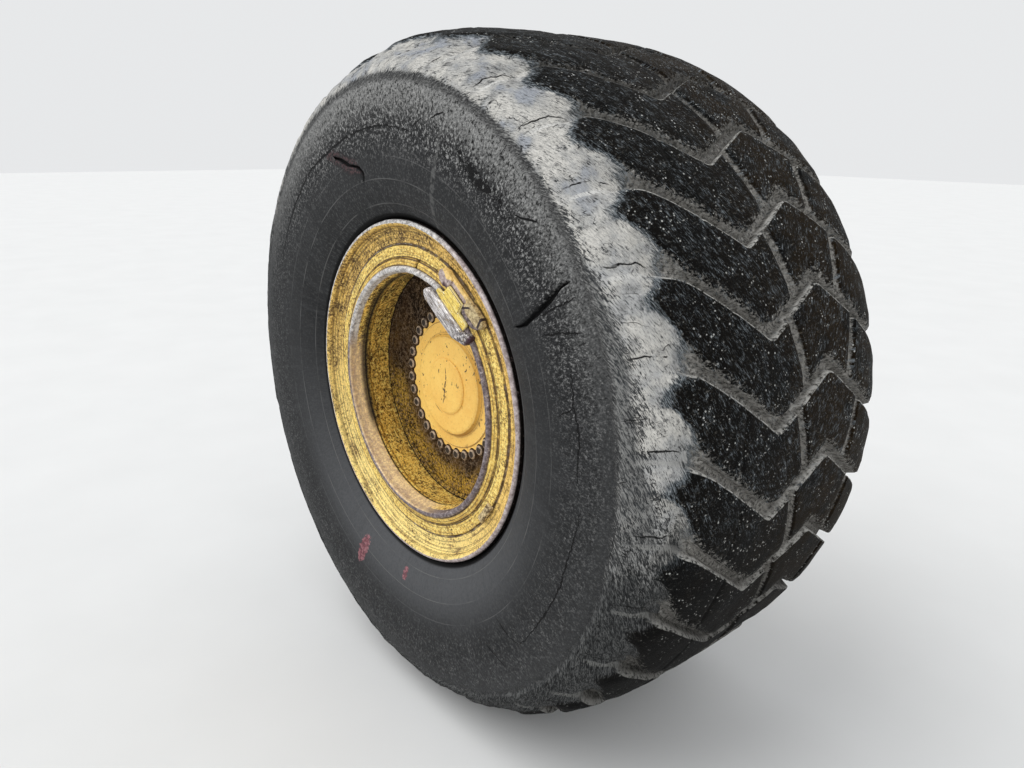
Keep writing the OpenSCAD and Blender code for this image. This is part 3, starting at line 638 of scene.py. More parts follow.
def tread_rubber():
    """Dark lugs with pale edges, dusty grooves and a shoulder scrubbed pale, by the layers of the mesh; the
    grooves on top and the lower side are darkened as painted shade, and the upper shoulder has a painted
    bluish sheen and crust lightened as painted light.
    """
    f = Finish("tread_rubber").polar()
    groove, pale = f.layer("groove"), f.layer("pale")
    dusty, crisp = f.layer("dusty"), f.layer("crisp")
    tops, grain, drag = lug_tops(f)
    dust, dust_noise = groove_dust(f)
    reach = f.plus(groove, f.times(dusty, f.minus(f.times(f.plus(grain, drag), 1.5), 1.28)),
                   f.sway(dust_noise, 0.5))
    # Grooves on the tread's top get less dust and stay dark, as painted shade.
    outside_top_shade = f.plus(1.0, f.times(f.facing(95, 60), -0.75))
    dust_on = f.times(f.step(reach, 0.14, 0.34), outside_top_shade)
    colour = f.mix(f.times(dust_on, f.plus(0.62, f.times(groove, 0.38))), tops, dust)
    edge_line = f.times(f.step(crisp, 0.30, 0.70), f.step(f.noise(0.010, 4, 0.75), 0.38, 0.58), outside_top_shade)
    colour = f.mix(f.times(edge_line, 0.9), colour, (0.45, 0.44, 0.41))

    shoulder, scales, fine, cracks = worn_shoulder(f)
    crumble = f.plus(f.sway(f.noise(0.022, 5, 0.75), 0.9), f.sway(fine, 1.4), f.sway(scales, 1.0))
    spread = f.plus(pale, crumble)
    on_shoulder = f.times(f.step(spread, 0.30, 1.05), f.step(pale, 0.01, 0.12))
    # Painted bluish sheen: blue-grey over the upward-facing shoulder.
    slate = f.times(f.step(f.plus(pale, f.times(crumble, 0.7)), 0.02, 0.34),
                    f.step(f.facing(78, 100), 0.02, 0.25), 0.85)
    colour = f.mix(slate, colour, f.blend(fine, 0.42, 0.60, (0.020, 0.026, 0.031), (0.205, 0.228, 0.245)))
    colour = f.mix(on_shoulder, colour, shoulder)

    groove_places = list(np.linspace(MID - 0.36, MID + 0.36, 49))
    middle, _ = f.follow(f.depth, groove_places,
                         [float(np.degrees(groove_angle(d - MID))) for d in groove_places])
    place = f.math("FRACT", f.times(f.plus(f.minus(f.angle, middle), 720 - GROOVE_PHASE), LUGS / 360))
    aside = f.plus(place, f.sway(f.noise(0.024, 3), 0.10))
    # The lugs' outboard ends, bounded by distances from the middle of the tread
    end = f.times(f.step(f.depth, MID - 0.280, MID - 0.300), f.step(f.depth, MID - 0.372, MID - 0.352))
    seam = f.times(f.band(aside, 0.075, 0.004, 0.010), end, f.step(f.noise(0.03, 2), 0.34, 0.46))
    # Pale crust at the lugs' ends, lightened on the upward side as painted light.
    crust = f.times(f.band(f.plus(place, f.times(crumble, 0.025)), 0.940, 0.018, 0.020), end,
                    f.step(fine, 0.40, 0.52))
    colour = f.mix(f.times(crust, 0.85), colour,
                   f.mix(f.facing(78, 100), (0.20, 0.20, 0.19), (0.70, 0.69, 0.66)))
    colour = f.mix(seam, colour, (0.012, 0.012, 0.012))
    shaded = f.times(f.step(f.facing(-80, 82), 0.0, 0.6), f.plus(0.60, f.times(on_shoulder, -0.48)))
    colour = f.mix(shaded, colour, (0.003, 0.003, 0.003))

    height = f.plus(f.times(grain, 0.45), f.times(drag, 0.25), f.times(dust_noise, f.times(dust_on, 0.5)),
                    f.times(scales, f.times(pale, 1.3)), f.times(fine, f.times(pale, 0.5)),
                    f.times(f.most(cracks, seam), f.times(pale, -0.8)))
    roughness = f.most(f.plus(0.48, f.times(grain, 0.45)), f.times(dust_on, 0.95), f.times(on_shoulder, 0.75))
    return f.done(colour, roughness, height, 0.0024, specular=0.06)


def worn_paint(name, paint, deep, rust, speckle=0.25, size=0.008, streak=0.4, steel=0.8, lip=None, chips=0.1,
               corner_shade=0.5, stain=0.0, dirt_and_shade=None, depths=(), rings_size=150, shine=None, pale=None, pepper=0.0,
               lines=(), iron=((0.33, 0.265, 0.255), (0.62, 0.54, 0.525)), blotches=0.75, outer=None,
               gold=None, inside=None, gloss=0.4):
    """Old paint: faded and rusting in specks and in streaks round the axle, its edges worn to steel.

    speckle, streak, steel, chips, corner_shade, stain, pepper and blotches are strengths from 0 to 1;
    corner_shade is the painted shade in concave corners.
    size: the specks' size in metres; rings_size: how many streaks lie in a metre across them.
    lip: a worn radius, its half width and how deep it reaches.
    dirt_and_shade: angle, spread and strength of a side with more dark specks, partly soiling and partly
    painted shade.
    depths: middle, half width, softness and strength of each band of painted shade in corners and under lips,
    then the angle and spread of the side that shows it, if not all do.
    lines: radius, half width and strength of each dark circle.
    shine and pale: angle and spread of the side whose steel is brightest, as a painted reflection, and whose
    paint is lightest, as painted light.
    iron: the bare steel's two colours.
    outer: radius and depth past which the paint turns black with iron flecks, as painted shade.
    gold: angle, spread and two radii of a side with gold specks mixed in.
    inside: radius and depth that bound a creamy zone on the low left side, a painted highlight.
    gloss: how much the paint shines.
    """
    f = Finish(name).polar()
    corner = f.layer("corner")
    broad = f.noise(0.10, 4)
    grain = f.noise(size, 5, 0.78)
    colour = f.blend(broad, 0.36, 0.64, paint, deep)
    # Painted light: the paint is lighter on one side.
    if pale:
        colour = f.mix(f.facing(*pale), colour, tuple(min(1.0, c * 1.30 + 0.15) for c in paint))
    rings = f.noise(1.0, 4, 0.62, f.along(6, rings_size))
    ring_marks = f.times(f.step(rings, 0.49, 0.62), f.step(f.noise(0.06, 3), 0.38, 0.60))
    colour = f.mix(f.times(ring_marks, streak), colour, rust)
    lighter = tuple(min(1.0, c * 1.20 + 0.10) for c in paint)
    colour = f.blend(grain, 0.47, 0.40, colour, lighter, blotches)
    if gold:
        more = f.times(f.step(f.facing(gold[0], gold[1]), 0.05, 0.45), f.step(f.r, gold[2], gold[3]))
        colour = f.mix(f.times(more, f.step(f.noise(0.007, 4, 0.8), 0.40, 0.58)), colour, (0.62, 0.38, 0.055))
    patchy = f.sway(f.noise(0.045, 4), 0.45)
    many = f.plus(grain, patchy, f.sway(rings, 0.35 * streak))
    # More dark specks on one side: partly soiling, partly painted shade.
    if dirt_and_shade:
        many = f.plus(many, f.times(f.facing(dirt_and_shade[0], dirt_and_shade[1]), dirt_and_shade[2]))
    level = 0.5 + 0.20 * (1 - 2 * speckle)
    specks = f.step(many, level - 0.02, level + 0.07)
    colour = f.mix(f.times(specks, 0.85), colour, rust)
    colour = f.blend(many, level + 0.07, level + 0.17, colour, tuple(c * 0.35 for c in rust))
    if stain:
        brown = f.times(f.spots(0.06, 0.5, detail=5, roughness=0.7), stain)
        colour = f.mix(brown, colour, tuple(c * 0.8 for c in rust))
    chipped = f.times(f.spots(0.013, chips, detail=3, roughness=0.6), f.spots(0.06, 0.5))
    colour = f.mix(chipped, colour, (0.040, 0.024, 0.015))
    if pepper:
        dots = f.noise(0.0072, 4, 0.85)
        colour = f.blend(dots, 0.475, 0.415, colour, tuple(c * 0.45 for c in rust), pepper)
        colour = f.blend(dots, 0.535, 0.590, colour, lighter, min(1.0, pepper * 1.4))
    for radius, half, strength in lines:
        waver = f.plus(f.r, f.sway(f.noise(0.05, 3), 0.0025))
        colour = f.mix(f.times(f.band(waver, radius, half, half), strength,
                               f.step(f.noise(0.030, 4, 0.7), 0.24, 0.52)), colour, (0.060, 0.028, 0.010))
    # Painted shade: concave corners darkened.
    crease_shade = f.times(f.step(f.plus(corner, f.sway(grain, 0.8)), -0.05, -0.50), corner_shade)
    colour = f.mix(crease_shade, colour, (0.022, 0.013, 0.007))
    worn_edge = f.plus(corner, f.sway(f.noise(0.014, 5, 0.75), 2.0))
    bare = f.times(f.step(worn_edge, 0.55, 0.95), steel)
    if lip:
        worn = f.plus(f.band(f.r, lip[0], lip[1], lip[1] * 0.6), f.sway(f.noise(0.014, 5, 0.75), 1.8))
        bare = f.most(bare, f.times(f.step(worn, 0.45, 0.80), f.step(f.depth, lip[2] + 0.004, lip[2])))
    iron_noise = f.noise(0.009, 5, 0.75)
    metal = f.blend(iron_noise, 0.40, 0.60, *iron)
    metal = f.blend(iron_noise, 0.61, 0.68, metal, (0.74, 0.72, 0.70))
    # Painted reflection: the bare steel brightest on one side.
    if shine:
        silver = f.blend(iron_noise, 0.38, 0.60, (0.32, 0.30, 0.29), (0.78, 0.76, 0.74))
        metal = f.blend(f.facing(*shine), 0.15, 0.6, metal, silver)
    colour = f.mix(bare, colour, metal)
    # Painted shade: black past the lip's edge, with iron flecks.
    if outer:
        past = f.times(f.step(f.r, outer[0] - 0.001, outer[0] + 0.001),
                       f.step(f.depth, outer[1], outer[1] + 0.0035))
        colour = f.mix(past, colour,
                       f.blend(iron_noise, 0.55, 0.68, (0.010, 0.006, 0.005), (0.16, 0.12, 0.11)))
    # Painted highlight: a creamy zone on the low left side.
    if inside:
        creamy = f.blend(f.noise(0.0085, 5, 0.8), 0.40, 0.58, (0.95, 0.72, 0.38), (0.60, 0.42, 0.27))
        near = f.times(f.step(f.r, inside[0], inside[0] - 0.0015),
                       f.step(f.depth, inside[1], inside[1] - 0.006), f.step(f.facing(-135, 76), 0.05, 0.55))
        colour = f.mix(f.times(near, 0.8), colour, creamy)
    # Painted shade: dark bands at depths in corners and under lips, only on one side where a side is given.
    for middle, half, soft, strength, *side in depths:
        dark_band = f.times(f.band(f.depth, middle, half, soft), strength)
        if side:
            dark_band = f.times(dark_band, f.step(f.facing(*side), 0.04, 0.45))
        colour = f.mix(dark_band, colour, (0.006, 0.004, 0.003))
    height = f.plus(f.times(specks, -0.5), f.times(chipped, -0.5), f.times(f.noise(0.003, 4, 0.7), 0.6),
                    f.times(bare, -0.3))
    roughness = f.plus(0.46, f.times(specks, 0.3), f.times(f.noise(0.02, 3), 0.2), f.times(chipped, 0.2))
    return f.done(colour, roughness, height, 0.0006, f.times(bare, 0.45), specular=gloss)


def dirty_steel(name, base, dust, bright, dust_share, bright_share, metallic, relief=0.0006, corners=0.0):
    """Bare or cast metal under dust, with bright worn spots. corners says how much edges shine and hollows
    darken."""
    f = Finish(name)
    size = 0.008
    broad = f.noise(0.05, 4)
    fine = f.noise(size, 5, 0.75)
    colour = f.blend(fine, 0.38, 0.62, base, tuple(c * 1.7 for c in base))
    colour = f.mix(f.times(f.spots(0.02, dust_share, detail=5, roughness=0.7), 0.8), colour, dust)
    rubbed = f.times(f.spots(size * 1.2, bright_share, detail=5, roughness=0.75), f.step(broad, 0.36, 0.60))
    colour = f.mix(f.times(rubbed, 0.85), colour, bright)
    if corners:
        corner = f.layer("corner")
        shine = f.times(f.step(corner, 0.2, 0.9), f.step(fine, 0.36, 0.56), corners)
        colour = f.mix(shine, colour, bright)
        colour = f.blend(corner, -0.2, -0.8, colour, (0.008, 0.005, 0.003), corners)
    return f.done(colour, f.plus(0.42, f.times(fine, 0.4)), fine, relief, f.times(f.rest(broad), metallic))


def scraped_steel():
    """The key's bar: steel scraped bright lengthwise, dark and pitted at its lower end, whose hooked tip is
    darkened as painted shade.
    """
    f = Finish("scraped_steel").along_key()
    scratch = f.noise(1.0, 4, 0.7, f.lengthwise(330.0, 42.0))
    broad = f.noise(0.030, 4)
    pits = f.noise(0.0065, 4, 0.75)
    low = f.step(f.plus(f.up, f.sway(pits, 0.06)), -0.018, -0.062)
    colour = f.blend(broad, 0.38, 0.62, (0.36, 0.33, 0.32), (0.62, 0.58, 0.57))
    colour = f.blend(scratch, 0.53, 0.61, colour, (0.92, 0.90, 0.88), 0.85)
    colour = f.blend(scratch, 0.47, 0.41, colour, (0.100, 0.076, 0.062), 0.85)
    colour = f.mix(f.times(low, f.step(pits, 0.44, 0.52), 0.90), colour, (0.045, 0.034, 0.037))
    colour = f.mix(f.times(f.spots(0.014, 0.22, detail=4, roughness=0.7), 0.6), colour, (0.34, 0.24, 0.10))
    # Painted shade: the hooked tip of the lower end turns dark purple.
    colour = f.blend(f.up, -0.074, -0.086, colour, (0.050, 0.022, 0.032))
    height = f.plus(f.times(scratch, 0.6), f.times(pits, 0.5))
    return f.done(colour, f.plus(0.34, f.times(pits, 0.4)), height, 0.0008, 0.45)


def key_plate_paint():
    """The key's plate: bright yellow paint scratched lengthwise, its edges pale, its sides darkened as
    painted shade, with a painted highlight along its raised face's edge.
    """
    f = Finish("key_plate_paint").along_key()
    scratch = f.noise(1.0, 4, 0.7, f.lengthwise(400.0, 60.0))
    grain = f.noise(0.0060, 4, 0.75)
    colour = f.blend(grain, 0.38, 0.62, (0.88, 0.67, 0.13), (0.72, 0.50, 0.080))
    colour = f.blend(scratch, 0.46, 0.40, colour, (0.30, 0.185, 0.040), 0.80)
    colour = f.blend(scratch, 0.55, 0.63, colour, (0.98, 0.92, 0.52), 0.75)
    colour = f.mix(f.spots(0.0065, 0.05), colour, (0.10, 0.055, 0.022))
    colour = f.blend(f.layer("corner"), 0.4, 0.9, colour, (0.98, 0.86, 0.46), 0.80)
    beside = f.times(f.step(f.up, -0.030, -0.025), f.step(f.up, 0.040, 0.034))
    # Painted highlight along the raised face's edge, with a dark line beside it.
    colour = f.mix(f.times(f.band(f.out, 0.2950, 0.0008, 0.0006), beside), colour, (0.98, 0.93, 0.66))
    colour = f.mix(f.times(f.band(f.out, 0.2928, 0.0007, 0.0006), beside), colour, (0.42, 0.28, 0.050))
    # Painted shade on the side walls.
    sides = f.blend(grain, 0.46, 0.62, (0.020, 0.012, 0.012), (0.130, 0.090, 0.080))
    colour = f.blend(f.layer("side"), 0.35, 0.65, colour, sides)
    return f.done(colour, f.plus(0.42, f.times(grain, 0.3)), f.plus(scratch, grain), 0.0005)


def key_lug_paint():
    """The key's lugs and the strip between them: gold paint outside, worn pinkish steel nearer the axle, with
    painted shadows in a hollow, along curved edges and at their feet.
    """
    f = Finish("key_lug_paint").along_key()
    grain = f.noise(0.0078, 5, 0.78)
    low = f.step(f.up, -0.010, -0.040)
    gold = f.blend(grain, 0.40, 0.60, (0.92, 0.64, 0.24), (0.62, 0.42, 0.13))
    gold = f.mix(low, gold, f.blend(grain, 0.42, 0.60, (0.60, 0.48, 0.26), (0.24, 0.17, 0.08)))
    steel = f.blend(grain, 0.40, 0.60, (0.56, 0.46, 0.43), (0.27, 0.20, 0.19))
    steel = f.mix(low, steel, f.blend(grain, 0.42, 0.62, (0.055, 0.040, 0.042), (0.30, 0.23, 0.225)))
    bound, _ = f.follow(f.up, (-0.098, -0.079, -0.044, -0.034, -0.024, 0.026, 0.034, 0.046, 0.060, 0.076),
                        (0.3200, 0.3115, 0.3115, 0.3170, 0.3290, 0.3300, 0.3300, 0.3225, 0.3280, 0.3330))
    inside = f.minus(f.plus(f.out, f.sway(grain, 0.010)), bound)
    colour = f.blend(inside, 0.0012, -0.0012, gold, steel)
    # Painted shade at the upper lug's lower left.
    recess_shade = f.times(f.step(f.up, 0.054, 0.048), f.step(f.up, 0.030, 0.036), f.step(f.out, 0.316, 0.308))
    colour = f.mix(recess_shade, colour, (0.060, 0.026, 0.034))
    # Painted shadows: a curved line at the lower lug's upper left, along its upper edge and at its lower end.
    notch = f.minus(f.plus(f.up, f.times(f.out, 0.98)), 0.2780)
    arc_shadow = f.times(f.band(notch, 0.0, 0.0024, 0.0014), f.step(f.out, 0.334, 0.328),
                       f.step(f.out, 0.306, 0.310))
    brow_shadow = f.times(f.step(f.layer("corner"), 0.3, 0.8), f.step(f.up, -0.046, -0.042),
                   f.step(f.up, -0.018, -0.022), f.step(f.out, 0.320, 0.314))
    arc_shadow = f.most(arc_shadow, brow_shadow)
    crescent_shadow = f.times(f.band(f.plus(f.up, f.times(f.out, -0.12)), -0.1255, 0.0022, 0.0016),
                       f.step(f.out, 0.312, 0.318))
    colour = f.mix(f.most(arc_shadow, crescent_shadow), colour, (0.022, 0.012, 0.014))
    colour = f.mix(f.spots(0.0075, 0.10), colour, (0.050, 0.028, 0.016))
    # Painted shade round the foot of the lugs.
    colour = f.mix(f.times(f.band(f.depth, 0.0206, 0.0016, 0.0016), 0.85), colour, (0.030, 0.016, 0.010))
    return f.done(colour, f.plus(0.46, f.times(grain, 0.3)), grain, 0.0007, specular=0.4)


def cover_paint():
    """The hub cover: warm yellow paint with small dark chips, a scratched curve and darker arcs low on it,
    painted shade in its hollow corners and on its side wall, and a painted highlight on its edges.
    """
    f = Finish("cover_paint").polar()
    broad = f.noise(0.09, 3)
    grain = f.noise(0.0065, 4, 0.75)
    colour = f.blend(broad, 0.36, 0.64, (0.95, 0.60, 0.135), (0.90, 0.53, 0.110))
    colour = f.blend(grain, 0.54, 0.66, colour, (0.98, 0.70, 0.24), 0.40)
    colour = f.blend(grain, 0.45, 0.36, colour, (0.66, 0.37, 0.060), 0.35)
    upright = f.node("ShaderNodeCombineXYZ", f.times(f.x, 125.0), f.times(f.depth, 125.0), f.times(f.z, 66.0))
    chips = f.times(f.step(f.noise(1.0, 3, 0.6, upright), 0.640, 0.665), f.step(f.noise(0.05, 2), 0.44, 0.54))
    colour = f.mix(chips, colour, (0.075, 0.036, 0.010))
    waver = f.plus(f.x, f.sway(f.noise(0.012, 3), 0.006))
    for width, line in COVER_MARKS:
        mark = f.times(f.stroke(f.z, waver, width, line), f.step(f.noise(0.010, 3, 0.7), 0.40, 0.50))
        colour = f.mix(mark, colour, (0.065, 0.034, 0.012))
    arc_shade = f.times(f.band(f.r, 0.1215, 0.0022, 0.0030), f.facing(-78, 62), 0.75)
    colour = f.mix(arc_shade, colour, (0.42, 0.20, 0.035))
    # Painted shade: hollow corners darkened.
    crease_shade = f.times(f.step(f.plus(f.layer("corner"), f.sway(grain, 0.8)), -0.05, -0.50), 0.55)
    colour = f.mix(crease_shade, colour, (0.22, 0.11, 0.030))
    # Painted highlight on the edges.
    rim = f.times(f.step(f.layer("corner"), 0.30, 0.75), f.step(grain, 0.40, 0.55), 0.5)
    colour = f.mix(rim, colour, (0.98, 0.80, 0.38))
    # Painted shade on the side wall.
    side = f.times(f.step(f.depth, DISC_DEPTH - 0.0070, DISC_DEPTH - 0.0045), 0.9)
    colour = f.mix(side, colour, (0.085, 0.042, 0.012))
    return f.done(colour, f.plus(0.46, f.times(grain, 0.25)), grain, 0.0004)


def rubbed_disc():
    """Brake iron rubbed bright in rings on its faces, rusty elsewhere."""
    f = Finish("rubbed_brake_iron").polar()
    rings = f.noise(1.0, 4, 0.6, f.along(2, 900))
    rust = f.mix(f.noise(0.006, 4, 0.7), (0.10, 0.045, 0.022), (0.24, 0.12, 0.06))
    iron = f.blend(rings, 0.35, 0.65, (0.30, 0.29, 0.28), (0.52, 0.51, 0.50))
    rubbed = f.times(f.band(f.r, 0.204, 0.015, 0.003), f.step(f.noise(0.05, 3), 0.72, 0.55))
    colour = f.mix(rubbed, rust, iron)
    height = f.plus(f.times(rings, f.times(rubbed, 0.5)), f.times(f.noise(0.003, 3), f.rest(rubbed)))
    return f.done(colour, f.plus(0.65, f.times(rubbed, -0.33)), height, 0.0005, f.times(rubbed, 0.85))


def casing_mud():
    """The axle casing: faded paint under dried mud, thickest below."""
    f = Finish("muddy_casing_paint").polar()
    broad = f.noise(0.08, 4)
    paint = f.blend(broad, 0.35, 0.65, (0.60, 0.36, 0.055), (0.42, 0.25, 0.05))
    mud_noise = f.noise(0.02, 5, 0.7)
    mud = f.mix(f.noise(0.005, 4, 0.7), (0.10, 0.080, 0.060), (0.26, 0.225, 0.18))
    under = f.step(f.uz, 0.5, -0.8)
    cover = f.step(f.plus(mud_noise, f.times(under, 0.10), f.sway(broad, 0.4)), 0.46, 0.54)
    colour = f.mix(cover, paint, mud)
    rust = f.spots(0.006, 0.12, detail=4, roughness=0.7)
    colour = f.mix(rust, colour, (0.075, 0.034, 0.016))
    height = f.plus(f.times(cover, 0.8), f.times(f.noise(0.004, 3), 0.5))
    return f.done(colour, f.plus(0.5, f.times(cover, 0.4)), height, 0.0015)


def floor_grey():
    """The pale floor of the picture."""
    f = Finish("pale_floor")
    fine = f.noise(0.4, 3)
    return f.done(f.mix(fine, (0.70, 0.70, 0.69), (0.76, 0.76, 0.75)), 0.85)


YELLOW = (0.78, 0.50, 0.105)
DEEP_YELLOW = (0.64, 0.38, 0.070)
RUST = (0.150, 0.085, 0.036)

SIDEWALL = sidewall_rubber()
TREAD = tread_rubber()
FLANGE = worn_paint("flange_paint", YELLOW, DEEP_YELLOW, RUST, speckle=0.34, size=0.0055, streak=0.8,
                    chips=0.04, corner_shade=0.85, lip=(LIP_R - 0.0030, 0.0042, 0.03), dirt_and_shade=(110, 85, 0.075),
                    rings_size=260, shine=(135, 95), pale=(-110, 100), pepper=0.55,
                    outer=(LIP_R - 0.0070, 0.0046),
                    lines=((0.3405, 0.0011, 0.9), (0.3520, 0.0007, 0.6), (0.3660, 0.0006, 0.6),
                           (0.3775, 0.0008, 0.4)))
BAND = worn_paint("band_paint", (0.88, 0.60, 0.14), YELLOW, RUST, speckle=0.30, size=0.0065, streak=0.75,
                  chips=0.06, corner_shade=0.85, steel=0.35, rings_size=300, pepper=0.65,
                  lines=((0.3120, 0.0009, 0.9), (0.3180, 0.0005, 0.5), (0.3372, 0.0010, 0.9)))
LOCK = worn_paint("lock_ring_paint", (0.86, 0.57, 0.12), DEEP_YELLOW, RUST, speckle=0.28, size=0.0065,
                  streak=0.65, chips=0.06, corner_shade=0.85, steel=0.35, rings_size=260, pepper=0.45,
                  lines=((0.2935, 0.0010, 0.8), (0.3010, 0.0006, 0.6), (0.3078, 0.0010, 0.9)))
BARREL = worn_paint("barrel_paint", (0.95, 0.57, 0.10), (0.72, 0.39, 0.055), (0.090, 0.042, 0.013),
                    speckle=0.44, size=0.0060, streak=0.30, chips=0.06, stain=0.10, corner_shade=0.5,
                    lip=(0.2835, 0.0095, 0.024), dirt_and_shade=(120, 100, 0.045), pepper=0.90,
                    iron=((0.120, 0.092, 0.096), (0.31, 0.26, 0.265)),
                    depths=((0.048, 0.004, 0.012, 0.85, 150, 80), (0.0500, 0.0012, 0.0022, 0.90),
                            (0.1392, 0.0018, 0.0020, 0.95)), shine=(110, 75), inside=(0.2815, 0.050))
DISC = worn_paint("disc_dirt", (0.105, 0.055, 0.012), (0.044, 0.021, 0.006), (0.016, 0.008, 0.003),
                  speckle=0.45, size=0.0065, streak=0.2, steel=0.0, chips=0.05, corner_shade=0.7,
                  dirt_and_shade=(95, 80, 0.10), blotches=0.35, pepper=0.45,
                  depths=((DISC_DEPTH - 0.0098, 0.0010, 0.0015, 0.90),), gold=(-105, 88, 0.198, 0.245),
                  gloss=0.12)
TONGUE = worn_paint("tongue_paint", (0.55, 0.42, 0.20), (0.36, 0.26, 0.14), (0.10, 0.06, 0.03), speckle=0.50,
                    size=0.0060, streak=0.3, chips=0.10, pepper=0.6)
COVER = cover_paint()
HUB = worn_paint("hub_paint", (0.50, 0.30, 0.06), (0.36, 0.20, 0.04), (0.09, 0.045, 0.018), speckle=0.40,
                 chips=0.12, stain=0.5)
KEY = key_plate_paint()
LUG_PAINT = key_lug_paint()
SCRAPED = scraped_steel()
BOLT = dirty_steel("wheel_bolt_steel", (0.075, 0.048, 0.030), (0.115, 0.070, 0.036), (0.50, 0.385, 0.27),
                   0.35, 0.16, 0.3, corners=0.85)
BRAKE_BOLT = dirty_steel("brake_bolt_steel", (0.15, 0.12, 0.09), (0.16, 0.12, 0.08), (0.42, 0.38, 0.33), 0.35,
                         0.3, 0.5)
SPINDLE_STEEL = dirty_steel("oily_spindle_steel", (0.30, 0.28, 0.26), (0.16, 0.13, 0.10), (0.55, 0.53, 0.50),
                            0.3, 0.4, 0.8)
CAST = dirty_steel("dusty_cast_iron", (0.075, 0.068, 0.060), (0.20, 0.165, 0.125), (0.22, 0.20, 0.18), 0.45,
                   0.2, 0.3, relief=0.0009)
PAD = dirty_steel("pad_lining", (0.045, 0.040, 0.036), (0.12, 0.10, 0.08), (0.16, 0.14, 0.12), 0.35, 0.15,
                  0.1)
BRASS = dirty_steel("dull_brass", (0.30, 0.21, 0.085), (0.14, 0.10, 0.05), (0.60, 0.46, 0.20), 0.35, 0.3, 0.7)


# Tyre

def bulge(angle):
    """Radius and depth of the tyre's curve at an angle: 0 is the widest circle and 180 its inboard twin."""
    a = np.radians(angle)
    reach = np.abs(np.sin(a)) ** (2 / BULGE_POWER)
    low = WIDEST_R - SEAT_R - 0.012
    r = WIDEST_R + np.where(np.sin(a) < 0, -low, TYRE_R - WIDEST_R) * reach
    depth = MID - TYRE_HALF_W * np.sign(np.cos(a)) * np.abs(np.cos(a)) ** (2 / BULGE_POWER)
    side = np.where(depth < MID, -1, 1)
    stand = RIDGE_H * smooth(RIDGE_R - 0.003, RIDGE_R + 0.010, r) * np.clip(1 - (r - RIDGE_R) / 0.060, 0, 1)
    return r, depth + side * stand


# The curve's angle at the ridge between sidewall and shoulder
RIDGE_ANGLE = float(np.degrees(np.arcsin(((RIDGE_R - WIDEST_R) / (TYRE_R - WIDEST_R)) ** (BULGE_POWER / 2))))


def crown_curve():
    """Points of the tread's curve from ridge to ridge, with their distance along it."""
    angle = np.linspace(RIDGE_ANGLE, 180 - RIDGE_ANGLE, 6001)
    r, depth = bulge(angle)
    along = np.concatenate([[0], np.cumsum(np.hypot(np.diff(r), np.diff(depth)))])
    return along, r, depth


def tread_rows(along, depth):
    """Places of the tread's rows along its curve: close at the links, even elsewhere."""
    at_depth = lambda d: np.interp(d, depth, along)
    rows = []
    for start, end, width, _ in LINKS:
        middle = at_depth(MID + (start + end) / 2)
        for k in (-1, 1):
            rows += [middle + k * width / 2 * 0.7, middle + k * (width / 2 + 0.001),
                     middle + k * (width / 2 + 0.005)]
        rows.append(middle)
    rows = sorted(rows)
    spacing = 0.0066
    filled = []
    for a, b in zip([0.0] + rows, rows + [along[-1]]):
        count = max(1, int(round((b - a) / spacing)))
        filled += [a + (b - a) * i / count for i in range(count)]
    return np.array(filled + [along[-1]])


# Parts of one pitch, from a groove's middle to the next one's, and how many columns each has
GROOVE, LOWER_EDGE, LOWER_VERGE, TOP, UPPER_VERGE, UPPER_EDGE, NEXT_GROOVE = range(7)
PART_COLUMNS = (2, 3, 3, 6, 1, 2, 2)
# How far under the tread's surface its inner side lies
TREAD_THICK = 0.036


def pitch_columns():
    """One pitch's columns: part, place in it, height from floor 0 to top 1, and place across the lug."""
    parts, places, heights, across = [], [], [], []
    for part, count in enumerate(PART_COLUMNS):
        for i in range(count):
            t = i / count
            rise = t * t * (3 - 2 * t)
            parts.append(part)
            places.append(t)
            heights.append({GROOVE: 0, LOWER_EDGE: rise, UPPER_EDGE: 1 - rise, NEXT_GROOVE: 0}.get(part, 1))
            across.append({GROOVE: 0.5 - 0.5 * t, LOWER_EDGE: 0.0, LOWER_VERGE: 0.14 * t,
                           TOP: 0.14 + 0.82 * t, UPPER_VERGE: 0.96 + 0.04 * t, UPPER_EDGE: 1.0,
                           NEXT_GROOVE: 1.0 - 0.5 * t}[part])
    return np.array(parts), np.array(places), np.array(heights), np.array(across)


def column_offsets(u, pitch, parts, places):
    """Distances of one pitch's columns from the groove's middle, in rows at distances u from the tread's."""
    outboard = smooth(-0.245, -0.325, u)
    inboard = smooth(0.250, 0.345, u)
    peak = np.exp(-((u - 0.082) / 0.030) ** 2)
    floor_low = GROOVE_W / 2 + 0.010 * outboard + 0.007 * inboard + 0.003 * peak
    edge_low = 0.0060 + 0.050 * outboard + 0.014 * inboard + 0.003 * peak
    floor_high = GROOVE_W / 2 - 0.0015 + 0.002 * outboard + 0.007 * inboard
    edge_high = 0.0040 + 0.008 * outboard + 0.014 * inboard
    verge_low, verge_high = 0.026 - 0.010 * outboard, 0.0045
    marks = [0 * u, floor_low, floor_low + edge_low, floor_low + edge_low + verge_low,
             pitch - floor_high - edge_high - verge_high, pitch - floor_high - edge_high, pitch - floor_high,
             pitch + 0 * u]
    marks = np.stack(marks, axis=-1)
    return marks[:, parts] + (marks[:, parts + 1] - marks[:, parts]) * places


